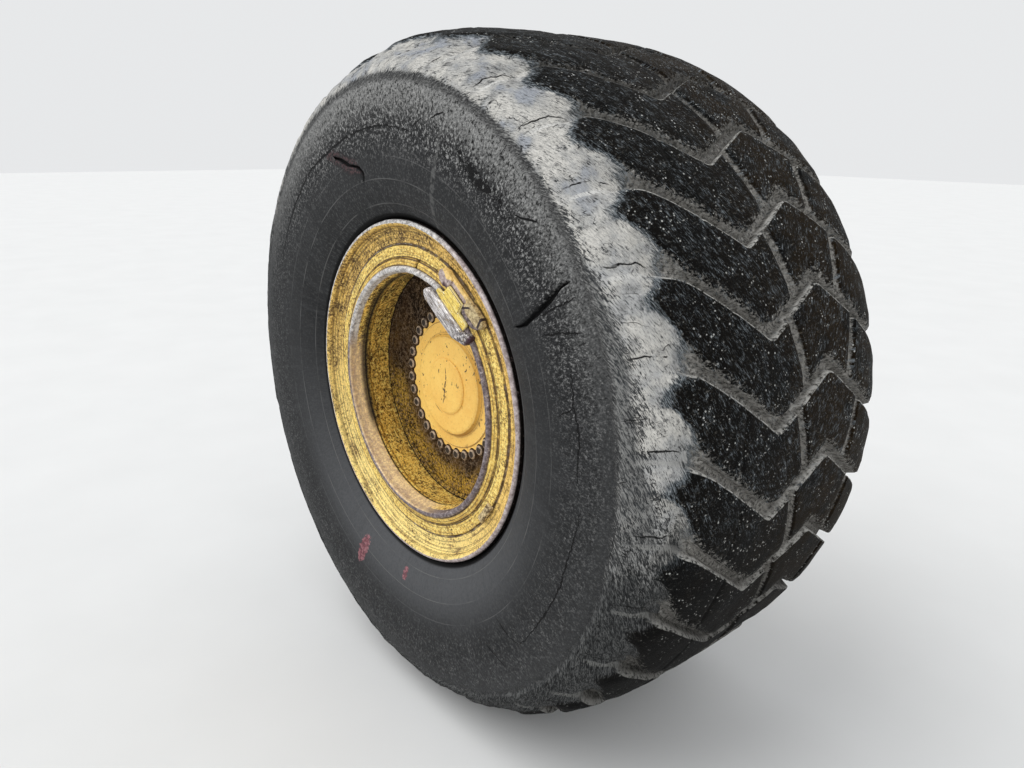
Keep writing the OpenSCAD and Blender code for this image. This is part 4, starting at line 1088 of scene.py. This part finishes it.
def tyre_tread():
    """The tread: a grid with a row for each place across it and columns that follow the grooves."""
    along, curve_r, curve_depth = crown_curve()
    rows = tread_rows(along, curve_depth)
    slope_r, slope_d = np.gradient(curve_r, along), np.gradient(curve_depth, along)
    parts, places, heights, across = (np.tile(values, LUGS) for values in pitch_columns())
    columns = len(parts)
    place = np.repeat(rows[:, None], columns, axis=1)
    u0 = np.interp(rows, along, curve_depth) - MID
    for start, end, _, _ in LINKS:
        pull = np.exp(-((u0 - (start + end) / 2) / 0.045) ** 2)
        place = place + pull[:, None] * ((end - start) * (0.5 - across))[None, :]
    place = np.clip(place, 0, along[-1])
    place[0], place[-1] = 0, along[-1]
    r, depth = np.interp(place, along, curve_r), np.interp(place, along, curve_depth)
    nr, nd = np.interp(place, along, slope_d), -np.interp(place, along, slope_r)
    u = depth - MID

    pitch = 2 * pi / LUGS
    first = columns // LUGS
    lug = np.repeat(np.arange(LUGS), first)
    offsets = column_offsets(u[:, 0], curve_r.max() * pitch, parts[:first], places[:first])
    offsets = np.tile(offsets, LUGS)
    rounder = {GROOVE: 0.5 + 0.5 * places, LOWER_EDGE: 1.0, LOWER_VERGE: 1.0, TOP: 1 - places,
               UPPER_VERGE: 0.0, UPPER_EDGE: 0.0, NEXT_GROOVE: 0.5 * places}
    rounder = np.select([parts == k for k in rounder],
                        [value + 0 * places for value in rounder.values()])[None, :]
    middle = groove_angle(u) * (1 - rounder) + groove_angle(u, 0.024) * rounder
    angle = radians(GROOVE_PHASE) + middle + lug[None, :] * pitch + offsets / curve_r.max()
    at = around_axle(angle, r, depth)
    wander = np.array([0.0008, 0.0026, 0.0014, 0.0, 0.0005, 0.0009, 0.0006])[parts][None, :]
    inside = smooth(0.0, 0.012, np.minimum(place, along[-1] - place))
    angle = angle + inside * wander * (noise(at, 0.020, 11) + 0.5 * noise(at, 0.008, 12)) / r
    at = around_axle(angle, r, depth)
    groove_gap = np.minimum(offsets, curve_r.max() * pitch - offsets)

    # The lugs' outboard ends are blunt dark noses over a worn pale shoulder
    nose = -0.314 + 0.046 * smooth(0.16, 0.0, across) + 0.028 * smooth(0.45, 1.0, across)
    beside = np.isin(parts, (GROOVE, LOWER_EDGE, UPPER_EDGE, NEXT_GROOVE))
    nose = np.where(beside, np.where(parts == UPPER_EDGE, -0.284, -0.268), nose)
    nose = nose[None, :] + 0.006 * noise(at, 0.030, 28)
    nose = nose + 0.020 * smooth(0.72, 0.98, np.sin(angle)) * smooth(-0.5, 0.1, np.cos(angle))
    worn = smooth(nose + 0.010, nose - 0.032, u)
    pale = smooth(nose + 0.002, nose - 0.034, u)
    inboard_worn = smooth(0.318, 0.350, u)
    fade = smooth(RIDGE_R, RIDGE_R + 0.020, r)
    top_depth = (0.0095 * worn * smooth(-0.385, -0.33, u) + 0.009 * inboard_worn) * fade
    groove_fade = (1 - smooth(-0.278, -0.345, u)) * (1 - smooth(0.305, 0.368, u))
    floor_extra = GROOVE_DEPTH * groove_fade
    heights = heights[None, :]
    link = np.zeros_like(u)
    for start, end, width, depth_share in LINKS:
        away = np.abs(rows - np.interp(MID + (start + end) / 2, curve_depth, along))
        link = np.maximum(link, depth_share * smooth(width / 2 + 0.0035, width / 2 - 0.001, away)[:, None])
    height = heights * (1 - link)
    sink = top_depth + floor_extra * (1 - height)
    tops = height > 0.9
    dusty = np.select([parts == LOWER_EDGE, parts == LOWER_VERGE], [1.0, 1 - places], 0.0)
    crisp = np.select([parts == UPPER_VERGE, parts == UPPER_EDGE], [places, 1 - places], 0.0)
    dusty, crisp = dusty[None, :] + 0 * u, crisp[None, :] + 0 * u
    chipped = smooth(0.15, 0.6, noise(at, 0.016, 26)) * dusty * tops
    sink = sink + groove_fade * (0.0022 * dusty * tops + 0.0030 * chipped + 0.0008 * crisp)
    sink = sink + tops * (0.0014 * noise(at, 0.050, 21) + 0.0007 * noise(at, 0.015, 22))
    sink = sink + (height < 0.1) * 0.0018 * noise(at, 0.018, 23) * groove_fade
    band = np.clip(worn + 0.7 * inboard_worn, 0, 1) * fade
    sink = sink + band * (0.0034 * noise(at, 0.034, 24) + 0.0017 * noise(at, 0.012, 25))
    valley = np.exp(-(groove_gap / 0.018) ** 2) * (1 - groove_fade)
    sink = sink + valley * 0.0050 * smooth(RIDGE_R + 0.004, RIDGE_R + 0.030, r)
    sink = np.where(fade > 0, np.maximum(sink, -0.0018), 0)

    outer = around_axle(angle, r - nr * sink, depth - nd * sink)
    core_rows = [-1, -8, -20, len(rows) // 2, 19, 7, 0]
    core = around_axle(angle, r - nr * TREAD_THICK, depth - nd * TREAD_THICK)[core_rows]
    groove = np.clip((1 - height) * groove_fade * 1.1, 0, 1)
    inner_pale = 0.5 * smooth(0.300, 0.350, u)
    layers = {"groove": groove, "pale": np.maximum(pale, inner_pale), "dusty": dusty * groove_fade,
              "crisp": crisp * groove_fade}
    none = np.zeros((len(core_rows), columns))
    layers = {name: np.concatenate([value, none]) for name, value in layers.items()}
    verts = np.concatenate([outer, core])
    tread = piece("tyre_tread", verts.reshape(-1, 3), grid_faces(len(verts), columns), TREAD, "wheel",
                  ["tyre"], layers)
    tread.data.set_sharp_from_angle(angle=radians(80))


def sidewall_columns():
    """Angles of the casing's columns, closer together at the cuts."""
    even = np.linspace(0, 2 * pi, 480, endpoint=False)
    extra = [radians(cut[0] + k) for cut in CUTS for k in np.linspace(-1.2, 1.2, 17)]
    kept = [a for a in even if min(abs((a - e + pi) % (2 * pi) - pi) for e in extra) > radians(0.30)]
    return np.array(sorted(kept + [e % (2 * pi) for e in extra]))


def casing_outline():
    """Outline of the casing, its rows close together on the outboard sidewall, and how many lie outside."""
    bead_r = SEAT_R + 0.001
    heel = [(bead_r, 0.055)] + arc(SEAT_R + 0.011, 0.0555, 0.010, 180, 270, 4)
    seat = arc(LIP_R - 0.032, 0.013, 0.0325, 90, 24, 6)
    curve_r, curve_d = bulge(np.linspace(-42, RIDGE_ANGLE, 4000))
    hidden = []
    for q, d in zip(*bulge(np.linspace(19.0, 90, 11))):
        lean = min(1.0, (q - RIDGE_R) / 0.03 + 0.35)
        hidden.append((q - 0.030 * lean, d + 0.022 * (1 - (q - RIDGE_R) / (TYRE_R - RIDGE_R))))
    halves = []
    for rows in (64, 30):
        r = np.linspace(LIP_R + 0.005, RIDGE_R, rows)
        halves.append(heel + seat + list(zip(r, np.interp(r, curve_r, curve_d))) + hidden)
    a = np.radians(np.linspace(90, -58, 18))
    reach = np.abs(np.sin(a)) ** (2 / BULGE_POWER)
    liner_r = WIDEST_R + np.where(a < 0, -(WIDEST_R - SEAT_R - 0.040), TYRE_R - 0.066 - WIDEST_R) * reach
    liner_d = MID - (TYRE_HALF_W - 0.036) * np.cos(a) ** (2 / BULGE_POWER)
    liner = list(zip(liner_r, liner_d)) + [(SEAT_R + 0.014, 0.119), (bead_r, 0.107)]
    outside = halves[0] + flipped(halves[1])[1:]
    return np.array(outside + flipped(liner)[:-1] + liner[1:]), len(outside) + 1


def tyre_casing():
    """Sidewalls, beads and the hidden carcass under the tread."""
    outline, count = casing_outline()
    angles = sidewall_columns()
    a, r = np.meshgrid(angles, outline[:, 0])
    depth = np.repeat(outline[:, 1][:, None], len(angles), axis=1)
    outside = (np.arange(len(outline)) < count - 1)[:, None]
    side = np.where(depth < MID, -1.0, 1.0)
    shown = outside * smooth(LIP_R + 0.004, LIP_R + 0.02, r) * (r <= RIDGE_R)
    shown = shown * smooth(RIDGE_R, RIDGE_R - 0.008, r) * (np.abs(depth - MID) > 0.27)
    at = around_axle(a, r, depth)
    raised = sum(0.0010 * np.exp(-((r - radius) / 0.0030) ** 2) for radius in RAISED_R)
    rough = smooth(0.49, 0.57, r)
    swell = raised + rough * (0.0010 * noise(at, 0.034, 31) + 0.0006 * noise(at, 0.014, 32))
    swell = swell - 0.0022 * np.exp(-((r - 0.6785) / 0.006) ** 2)
    cut = np.zeros_like(r)
    for middle, width, deep, line in CUTS:
        start, end = line[0][0], line[-1][0]
        along = np.clip((r - start) / (end - start), 0, 1)
        aside = np.radians(np.interp(r, [p[0] for p in line], [p[1] for p in line]))
        offset = (a - radians(middle)) * r
        a = a + np.exp(-((a - radians(middle)) / radians(4.0)) ** 2) * aside * outside * (side < 0)
        taper = np.clip(4 * along * (1 - along), 0, 1) ** 0.8
        ragged = width * (0.30 + 0.12 * noise(at, 0.02, 35)) * (0.10 + 0.90 * taper)
        mask = np.exp(-(offset / ragged) ** 2) * smooth(0, 0.05, along) * smooth(1, 0.95, along) * (side < 0)
        swell = swell - deep * mask * (0.3 + 0.7 * taper)
        cut = np.maximum(cut, smooth(0.25, 0.75, mask))
    depth = depth + side * swell * shown
    casing = piece("tyre_casing", around_axle(a, r, depth).reshape(-1, 3),
                   grid_faces(len(outline), len(angles)), SIDEWALL, "wheel", ["tyre"],
                   {"cut": cut * shown})
    casing.data.set_sharp_from_angle(angle=radians(60))


# Rim

UPSTAND_R = LIP_R - 0.0553
FLANGE_FACE = 0.033
BAND_FACE = 0.022
GUTTER_R = 0.285
BASE_R = SEAT_R - 0.016
BARREL_R = BASE_R - 0.015


def flange_outline():
    back = [(SEAT_R + 0.001, 0.045), (SEAT_R + 0.001, 0.036), (SEAT_R + 0.004, FLANGE_FACE),
            (UPSTAND_R + 0.0004, FLANGE_FACE), (UPSTAND_R + 0.0004, 0.0252)]
    face = [(LIP_R - 0.0345, 0.0246), (LIP_R - 0.030, 0.0236), (LIP_R - 0.025, 0.0222),
            (LIP_R - 0.020, 0.0188), (LIP_R - 0.0163, 0.0132)]
    lip = arc(LIP_R - 0.0072, 0.0072, 0.0072, 190, 360, 10)
    return back + face + lip + arc(LIP_R - 0.032, 0.013, 0.032, 0, 90, 8)


def rim_rings():
    """The five rings of the rim: two flanges, the bead seat band, the split lock ring and the base."""
    flange = flange_outline()
    ring("flange_outboard", flange, FLANGE, "wheel", ["outer_flange"], dent=0.0006, seed=3)
    ring("flange_inboard", flipped(flange), FLANGE, "wheel", ["inner_flange"], dent=0.0006,
         seed=4)
    band = [(SEAT_R - 0.0070, BAND_FACE), (SEAT_R - 0.004, BAND_FACE - 0.0006),
            (UPSTAND_R - 0.0035, BAND_FACE), (UPSTAND_R - 0.0004, 0.0245), (UPSTAND_R - 0.0004, 0.03275),
            (SEAT_R + 0.002, 0.03275), (SEAT_R, 0.035), (SEAT_R, 0.145), (BASE_R + 0.00025, 0.145),
            (BASE_R + 0.00025, 0.048), (SEAT_R - 0.0070, 0.042)]
    ring("bead_band", band, BAND, "wheel", ["bead_seat_band"], radius=0.0016, dent=0.0004,
         seed=5)
    lock = [(GUTTER_R + 0.00125, 0.020), (GUTTER_R + 0.00125, 0.038), (BASE_R - 0.004, 0.044),
            (SEAT_R - 0.0078, 0.0405), (SEAT_R - 0.0078, 0.0222), (SEAT_R - 0.0098, 0.0200),
            (SEAT_R - 0.0165, 0.0158), (SEAT_R - 0.0205, 0.0152), (GUTTER_R + 0.0073, 0.0152),
            (GUTTER_R + 0.0073, 0.0195)]
    ring("split_lock_ring", lock, LOCK, "wheel", ["lock_ring"], radius=0.0014, dent=0.0004,
         gap=(84.5, 1.75), seed=6)
    inner_seat = RIM_SPAN - 0.150
    base = (arc(GUTTER_R, 0.015, 0.007, 178, 362, 10)
            + [(GUTTER_R + 0.0068, 0.0178), (GUTTER_R + 0.001, 0.0192), (GUTTER_R + 0.001, 0.040),
               (BASE_R, 0.050), (BASE_R, inner_seat), (SEAT_R, inner_seat + 0.016),
               (SEAT_R, RIM_SPAN - 0.0328), (UPSTAND_R, RIM_SPAN - 0.0328), (UPSTAND_R, RIM_SPAN - 0.0242),
               (UPSTAND_R - 0.003, RIM_SPAN - BAND_FACE), (SEAT_R - 0.018, RIM_SPAN - BAND_FACE),
               (SEAT_R - 0.018, inner_seat + 0.020), (BARREL_R, inner_seat), (BARREL_R, 0.137),
               (BARREL_R - 0.0005, 0.118), (0.2830, 0.098), (0.2795, 0.082), (0.2772, 0.066), (0.2745, 0.063),
               (0.2718, 0.059), (0.2712, 0.046), (0.2735, 0.034), (0.2765, 0.024)])
    ring("rim_gutter_and_base", base, BARREL, "wheel", ["rim_base"], radius=0.0016, dent=0.0006,
         seed=7)


def wheel_face():
    """The disc that the bolts sit on."""
    plate = [(0.1502, DISC_DEPTH), (BARREL_R - 0.020, DISC_DEPTH), (BARREL_R - 0.012, DISC_DEPTH - 0.001),
             (BARREL_R - 0.0065, DISC_DEPTH - 0.005), (BARREL_R - 0.0025, DISC_DEPTH - 0.0105),
             (BARREL_R - 0.00025, DISC_DEPTH + 0.001), (BARREL_R - 0.00025, DISC_DEPTH + 0.032),
             (BARREL_R - 0.010, DISC_DEPTH + 0.022), (0.1502, DISC_DEPTH + 0.022)]
    ring("wheel_disc_plate", plate, DISC, "wheel", ["wheel_disc"], radius=0.0012, dent=0.0005,
         seed=8)


BOLTS = 32
BOLT_PCD_R = 0.1715
BOLT_PHASE = 5.85


def scalloped(angles, r, depth):
    """The cover's rim curves in round each bolt, down to the edge of its plate."""
    scallop_r, plate_r = 0.0150, 0.1525
    pitch = 2 * pi / BOLTS
    away = ((angles - radians(BOLT_PHASE) + pitch / 2) % pitch - pitch / 2) * BOLT_PCD_R
    notch = np.sqrt(np.maximum(scallop_r ** 2 - away ** 2, 0))
    limit = np.maximum(BOLT_PCD_R - notch, plate_r + (r - plate_r) * 0.3)
    return np.where((r > plate_r) & (notch > 0), np.minimum(r, limit), r)


def hub_front():
    """The scalloped cover and the boss in its middle."""
    face = DISC_DEPTH - 0.007
    plate = face - 0.0030
    cover = [(0.0, DISC_DEPTH), (COVER_R, DISC_DEPTH), (COVER_R, face + 0.001), (COVER_R - 0.001, face),
             (0.1522, face), (0.1508, plate), (0.1265, plate), (0.1225, plate - 0.0020),
             (0.1195, plate - 0.0060), (0.1175, plate - 0.0100), (0.1120, plate - 0.0120),
             (0.0, plate - 0.0120)]
    cap_of_ring("scalloped_cover", cover, COVER, "wheel", ["hub_cover"], steps=512,
                shape=scalloped, seed=9)
    top = face - 0.015
    boss = [(0.0, top), (BOSS_R, top), (BOSS_R - 0.0012, top - 0.0032), (BOSS_R - 0.005, top - 0.005),
            (0.0, top - 0.005)]
    cap_of_ring("cover_boss", boss, COVER, "wheel", ["hub_boss"], seed=10)


# Bolts, made with Geometry Nodes

def bolt_tree(material):
    """Bolts on a circle in the XY plane, heads along +Z: collar, head, its shining chamfer and a dark end."""
    tree = bpy.data.node_groups.new("bolt_circle", "GeometryNodeTree")
    face = tree.interface
    for kind, names in (("NodeSocketInt", ("Count", "Seed")),
                        ("NodeSocketFloat", ("Circle Radius", "Head Radius", "Head Height", "Collar Radius",
                                             "Collar Height", "End Radius", "End Height"))):
        for name in names:
            face.new_socket(name=name, in_out="INPUT", socket_type=kind)
    face.new_socket(name="Geometry", in_out="OUTPUT", socket_type="NodeSocketGeometry")
    given = tree.nodes.new("NodeGroupInput").outputs
    nodes, link = tree.nodes, tree.links.new

    def cone(sides, bottom, top, height, raise_by, corner=0.0):
        """A solid cone or prism, with its value for the layer corner."""
        made = nodes.new("GeometryNodeMeshCone")
        made.inputs["Vertices"].default_value = sides
        link(bottom, made.inputs["Radius Bottom"])
        link(top, made.inputs["Radius Top"])
        link(height, made.inputs["Depth"])
        moved = nodes.new("GeometryNodeTransform")
        link(made.outputs[0], moved.inputs["Geometry"])
        lift = nodes.new("ShaderNodeCombineXYZ")
        link(raise_by, lift.inputs["Z"])
        link(lift.outputs[0], moved.inputs["Translation"])
        stored = nodes.new("GeometryNodeStoreNamedAttribute")
        stored.inputs["Name"].default_value = "corner"
        stored.inputs["Value"].default_value = corner
        link(moved.outputs[0], stored.inputs["Geometry"])
        return stored.outputs[0]

    def scaled(socket, factor, more=None):
        made = nodes.new("ShaderNodeMath")
        made.operation = "MULTIPLY_ADD"
        link(socket, made.inputs[0])
        made.inputs[1].default_value = factor
        made.inputs[2].default_value = 0.0
        if more is not None:
            link(more, made.inputs[2])
        return made.outputs[0]

    collar_top = given["Collar Height"]
    chamfer = scaled(given["Head Height"], 0.22)
    head_body = scaled(given["Head Height"], 0.78, collar_top)
    head_top = scaled(given["Head Height"], 1.0, collar_top)
    nothing = scaled(given["Head Height"], 0.0)
    parts = [cone(24, given["Collar Radius"], scaled(given["Collar Radius"], 0.93), collar_top, nothing),
             cone(12, given["Head Radius"], given["Head Radius"], scaled(given["Head Height"], 0.78),
                  collar_top),
             cone(12, given["Head Radius"], scaled(given["Head Radius"], 0.80), chamfer, head_body, 1.0),
             cone(16, given["End Radius"], scaled(given["End Radius"], 0.82), given["End Height"], head_top,
                  -1.0)]
    joined = nodes.new("GeometryNodeJoinGeometry")
    for part in reversed(parts):
        link(part, joined.inputs[0])
    circle = nodes.new("GeometryNodeMeshCircle")
    link(given["Count"], circle.inputs["Vertices"])
    link(given["Circle Radius"], circle.inputs["Radius"])
    spin = nodes.new("FunctionNodeRandomValue")
    spin.data_type = "FLOAT_VECTOR"
    spin.inputs[0].default_value = (0, 0, 0)
    spin.inputs[1].default_value = (0, 0, 2 * pi)
    link(given["Seed"], spin.inputs["Seed"])
    place = nodes.new("GeometryNodeInstanceOnPoints")
    link(circle.outputs[0], place.inputs["Points"])
    link(joined.outputs[0], place.inputs["Instance"])
    link(spin.outputs[0], place.inputs["Rotation"])
    real = nodes.new("GeometryNodeRealizeInstances")
    link(place.outputs[0], real.inputs[0])
    paint = nodes.new("GeometryNodeSetMaterial")
    paint.inputs["Material"].default_value = material
    link(real.outputs[0], paint.inputs["Geometry"])
    link(paint.outputs[0], nodes.new("NodeGroupOutput").inputs[0])
    return tree


def bolts(name, material, body, slot, depth, phase, nodes, **sizes):
    """A circle of bolts that face outboard, its collars at a depth. sizes are the inputs of bolt_tree."""
    tree = bolt_tree(material)
    carrier = bpy.data.objects.new(name + "_maker", bpy.data.meshes.new(name + "_maker"))
    bpy.context.scene.collection.objects.link(carrier)
    modifier = carrier.modifiers.new("bolts", "NODES")
    modifier.node_group = tree
    keys = {item.name: item.identifier for item in tree.interface.items_tree if item.in_out == "INPUT"}
    for key, value in sizes.items():
        modifier[keys[key.replace("_", " ").title()]] = value
    bpy.context.view_layer.update()
    evaluated = carrier.evaluated_get(bpy.context.evaluated_depsgraph_get())
    mesh = bpy.data.meshes.new_from_object(evaluated)
    carrier.modifiers.clear()
    bpy.data.objects.remove(carrier)
    mesh.transform(Matrix.Rotation(radians(-phase), 4, "Y") @ Matrix.Rotation(radians(90), 4, "X"))
    mesh.transform(Matrix.Translation((0, LIP_Y + depth, 0)))
    return finished(name, mesh, material, body, nodes)


def all_bolts():
    """The bolts that hold the disc to the hub."""
    bolts("wheel_bolt_ring", BOLT, "wheel", "bolt_steel", DISC_DEPTH, BOLT_PHASE, ["wheel_bolts"],
          count=BOLTS, circle_radius=BOLT_PCD_R, head_radius=0.0120, head_height=0.0100, collar_radius=0.0136,
          collar_height=0.0025, end_radius=0.0078, end_height=0.0006, seed=5)


# Driver key

def slab(name, outline, front, back, material, nodes=(), bevel=0.002, segments=3, warp=None):
    """A plate between two depths, its outline in the key's plane as distances from the axle and along the
    key. warp(out, up, depth) may move its points."""
    bm = bmesh.new()
    low = [bm.verts.new((p[0], p[1], back)) for p in outline]
    high = [bm.verts.new((p[0], p[1], front)) for p in outline]
    bm.faces.new(low)
    bm.faces.new(high[::-1])
    count = len(outline)
    for i in range(count):
        j = (i + 1) % count
        bm.faces.new((low[j], low[i], high[i], high[j]))
    bmesh.ops.recalc_face_normals(bm, faces=bm.faces)
    rim = [e for e in bm.edges if abs(e.verts[0].co.z - front) < 1e-6 and abs(e.verts[1].co.z - front) < 1e-6]
    bmesh.ops.bevel(bm, geom=rim, offset=bevel, segments=segments, affect="EDGES", profile=0.6)
    bmesh.ops.triangulate(bm, faces=[face for face in bm.faces if len(face.verts) > 4])
    bmesh.ops.subdivide_edges(bm, edges=[e for e in bm.edges if e.calc_length() > 0.012], cuts=3,
                              use_grid_fill=True)
    mesh = bpy.data.meshes.new(name)
    bm.to_mesh(mesh)
    bm.free()
    a = radians(KEY_ANGLE)
    corner, side = [], []
    for v in mesh.vertices:
        u, w, d = v.co
        if warp:
            u, w, d = warp(u, w, d)
        corner.append(1.0 if front + 0.0001 < d < front + bevel * 1.1 else 0.0)
        side.append(1.0 if d > front + bevel * 1.05 else 0.0)
        v.co = (u * cos(a) - w * sin(a), LIP_Y + d, u * sin(a) + w * cos(a))
    for layer, values in (("corner", corner), ("side", side)):
        mesh.attributes.new(layer, "FLOAT", "POINT").data.foreach_set("value", values)
    mesh.polygons.foreach_set("use_smooth", [True] * len(mesh.polygons))
    mesh.set_sharp_from_angle(angle=radians(35))
    return finished(name, mesh, material, "wheel", nodes)


def rounded_box(u0, u1, w0, w1, radius):
    """Outline of a rectangle with round corners."""
    points, steps = [], 5
    for cu, cw, start in ((u1 - radius, w1 - radius, 0), (u0 + radius, w1 - radius, 90),
                          (u0 + radius, w0 + radius, 180), (u1 - radius, w0 + radius, 270)):
        for i in range(steps + 1):
            a = radians(start + 90 * i / steps)
            points.append((cu + radius * cos(a), cw + radius * sin(a)))
    return points


def driver_key():
    """The key's plate with its raised middle and foot, the scraped bar and the two lugs on their strip."""
    ring_front = 0.0148
    plate = [(0.2785, -0.0590), (0.2930, -0.0600), (0.2955, -0.0570), (0.2965, -0.0275), (0.3180, -0.0265),
             (0.3185, 0.0280), (0.2990, 0.0340), (0.2905, 0.0400), (0.2880, 0.0540), (0.2800, 0.0570),
             (0.2765, 0.0420)]
    slab("driver_key_plate", plate, 0.0040, ring_front, KEY, ["driver_key"], bevel=0.0010)
    slab("driver_key_rib", rounded_box(0.2958, 0.3182, -0.0256, 0.0278, 0.0008), 0.0010, 0.0050, KEY,
         bevel=0.0008)
    slab("driver_key_foot", rounded_box(SEAT_R - 0.0058, 0.3245, -0.0515, 0.0515, 0.003), ring_front, 0.0216,
         KEY)

    def hooked(u, w, d):
        """The bar's lower end is slimmer and turns away from the axle."""
        turn = max(0.0, (-w - 0.050) / 0.040)
        slim = 1 - 0.25 * max(0.0, (-w - 0.030) / 0.060)
        return 0.2575 + (u - 0.2575) * slim + 0.022 * turn ** 2, w, d + 0.003 * turn

    bar = [(0.2380, 0.0700), (0.2450, 0.0840), (0.2530, 0.0880), (0.2620, 0.0830), (0.2690, 0.0660),
           (0.2735, 0.0400), (0.2770, 0.0200), (0.2770, -0.0800), (0.2700, -0.0880), (0.2520, -0.0900),
           (0.2400, -0.0820)]
    slab("key_bar_scraped", bar, -0.0020, 0.0240, SCRAPED, ["key_bar"], bevel=0.0075,
         warp=hooked)
    slab("key_strip", rounded_box(0.3185, 0.3365, -0.0560, 0.0500, 0.005), 0.0110, 0.0216, LUG_PAINT,
         ["key_lugs"], bevel=0.003)
    upper = [(0.3080, 0.0320), (0.3350, 0.0300), (0.3380, 0.0520), (0.3320, 0.0680), (0.3220, 0.0745),
             (0.3110, 0.0740), (0.3030, 0.0640), (0.3000, 0.0480)]
    lower = [(0.3180, -0.0240), (0.3330, -0.0330), (0.3390, -0.0500), (0.3370, -0.0860), (0.3300, -0.0970),
             (0.3180, -0.0950), (0.3060, -0.0840), (0.2990, -0.0730), (0.2978, -0.0420), (0.3010, -0.0310),
             (0.3090, -0.0250)]
    for name, outline in (("key_lug_upper", upper), ("key_lug_lower", lower)):
        slab(name, outline[::-1], 0.0065, 0.0216, LUG_PAINT, bevel=0.0042, segments=4)


def rim_tongue():
    """A short thick tongue on the band's edge, low on the wheel."""
    outline = [(0.3255, 0.0225), (0.3255, 0.0165), (0.3285, 0.0130), (0.3390, 0.0130), (0.3425, 0.0165),
               (0.3425, 0.0225)]
    angles, root, n = np.radians(np.linspace(318.5, 328.5, 10)), 0.0225, len(outline)
    last = len(angles) - 1
    verts, faces = [], []
    for k, a in enumerate(angles):
        taper = 1.0 if 0 < k < last else 0.6
        for r, depth in outline:
            verts.append((r * cos(a), LIP_Y + root + (depth - root) * taper, r * sin(a)))
    for k in range(last):
        for i in range(n):
            j = (i + 1) % n
            faces.append([k * n + i, k * n + j, (k + 1) * n + j, (k + 1) * n + i])
    faces += [list(range(n))[::-1], [last * n + i for i in range(n)]]
    corner = {"corner": [0.3] * len(verts)}
    obj = piece("band_tongue", verts, faces, TONGUE, "wheel", layers=corner)
    obj.data.set_sharp_from_angle(angle=radians(30))


# Pieces that the CAD already shapes

def dress_frame():
    """Gives them their finishes."""
    dressed = {"hub": HUB, "valve": BRASS, "brake_disc": rubbed_disc(), "brake_disc_bolts": BRAKE_BOLT,
               "spindle": SPINDLE_STEEL, "spindle_bolts": BRAKE_BOLT, "brake_carrier": CAST,
               "caliper_front": CAST, "caliper_rear": CAST, "brake_pads": PAD, "casing": casing_mud(),
               "casing_flange": SPINDLE_STEEL}
    for name, material in dressed.items():
        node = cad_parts.get(name)
        if node:
            node.data.materials.clear()
            node.data.materials.append(material)


# Floor, light and camera

# The photo's camera: its place, its angles and its lens in millimetres
VIEW_POINT = Vector((1.470, -1.7213, 0.5649))
VIEW_YAW = radians(49.96)
VIEW_PITCH = radians(-17.29)
VIEW_ROLL = radians(0.79)
VIEW_LENS = 27.87


def stage():
    """A pale floor, and a soft sky that the camera sees as plain grey."""
    bpy.ops.mesh.primitive_plane_add(size=60, location=(0, 0, FLOOR_Z))
    floor = bpy.context.object
    floor.name = "floor"
    floor.data.materials.append(floor_grey())
    world = bpy.data.worlds.new("soft_studio")
    bpy.context.scene.world = world
    world.use_nodes = True
    tree = world.node_tree
    tree.nodes.clear()
    sky = tree.nodes.new("ShaderNodeBackground")
    sky.inputs["Color"].default_value = (0.955, 0.975, 1.0, 1)
    sky.inputs["Strength"].default_value = 0.80
    back = tree.nodes.new("ShaderNodeBackground")
    back.inputs["Color"].default_value = (0.80, 0.81, 0.82, 1)
    back.inputs["Strength"].default_value = 1.0
    path = tree.nodes.new("ShaderNodeLightPath")
    seen = path.outputs["Is Camera Ray"]
    for ray in ("Is Glossy Ray", "Is Transmission Ray"):
        either = tree.nodes.new("ShaderNodeMath")
        either.operation = "MAXIMUM"
        tree.links.new(seen, either.inputs[0])
        tree.links.new(path.outputs[ray], either.inputs[1])
        seen = either.outputs[0]
    mixed = tree.nodes.new("ShaderNodeMixShader")
    out = tree.nodes.new("ShaderNodeOutputWorld")
    tree.links.new(seen, mixed.inputs[0])
    tree.links.new(sky.outputs[0], mixed.inputs[1])
    tree.links.new(back.outputs[0], mixed.inputs[2])
    tree.links.new(mixed.outputs[0], out.inputs[0])


def lamp(name, place, target, strength, spread):
    """A far, soft light from a direction."""
    light = bpy.data.lights.new(name, "SUN")
    light.energy = strength
    light.angle = radians(spread)
    obj = bpy.data.objects.new(name, light)
    bpy.context.scene.collection.objects.link(obj)
    obj.location = place
    obj.rotation_euler = (Vector(target) - Vector(place)).to_track_quat("-Z", "Y").to_euler()


def camera():
    """Looks from the photo's camera."""
    data = bpy.data.cameras.new("view")
    data.lens = VIEW_LENS
    data.sensor_width = 36
    obj = bpy.data.objects.new("view", data)
    bpy.context.scene.collection.objects.link(obj)
    forward = Vector((-cos(VIEW_PITCH) * sin(VIEW_YAW), cos(VIEW_PITCH) * cos(VIEW_YAW), sin(VIEW_PITCH)))
    flat = forward.cross(Vector((0, 0, 1))).normalized()
    level = flat.cross(forward)
    right = flat * cos(VIEW_ROLL) + level * sin(VIEW_ROLL)
    up = level * cos(VIEW_ROLL) - flat * sin(VIEW_ROLL)
    turn = Matrix((right, up, -forward)).transposed().to_4x4()
    obj.matrix_world = Matrix.Translation(VIEW_POINT) @ turn
    bpy.context.scene.camera = obj


bpy.context.scene.view_settings.view_transform = "Standard"
stage()
lamp("key_light", (-1.5, -3.5, 5.0), (0.1, -0.4, 0.1), 1.5, 50)
lamp("fill_light", (4.5, -2.5, 2.5), (0.2, -0.4, 0.0), 0.35, 60)
camera()
tyre_tread()
tyre_casing()
rim_rings()
wheel_face()
hub_front()
all_bolts()
driver_key()
rim_tongue()
dress_frame()
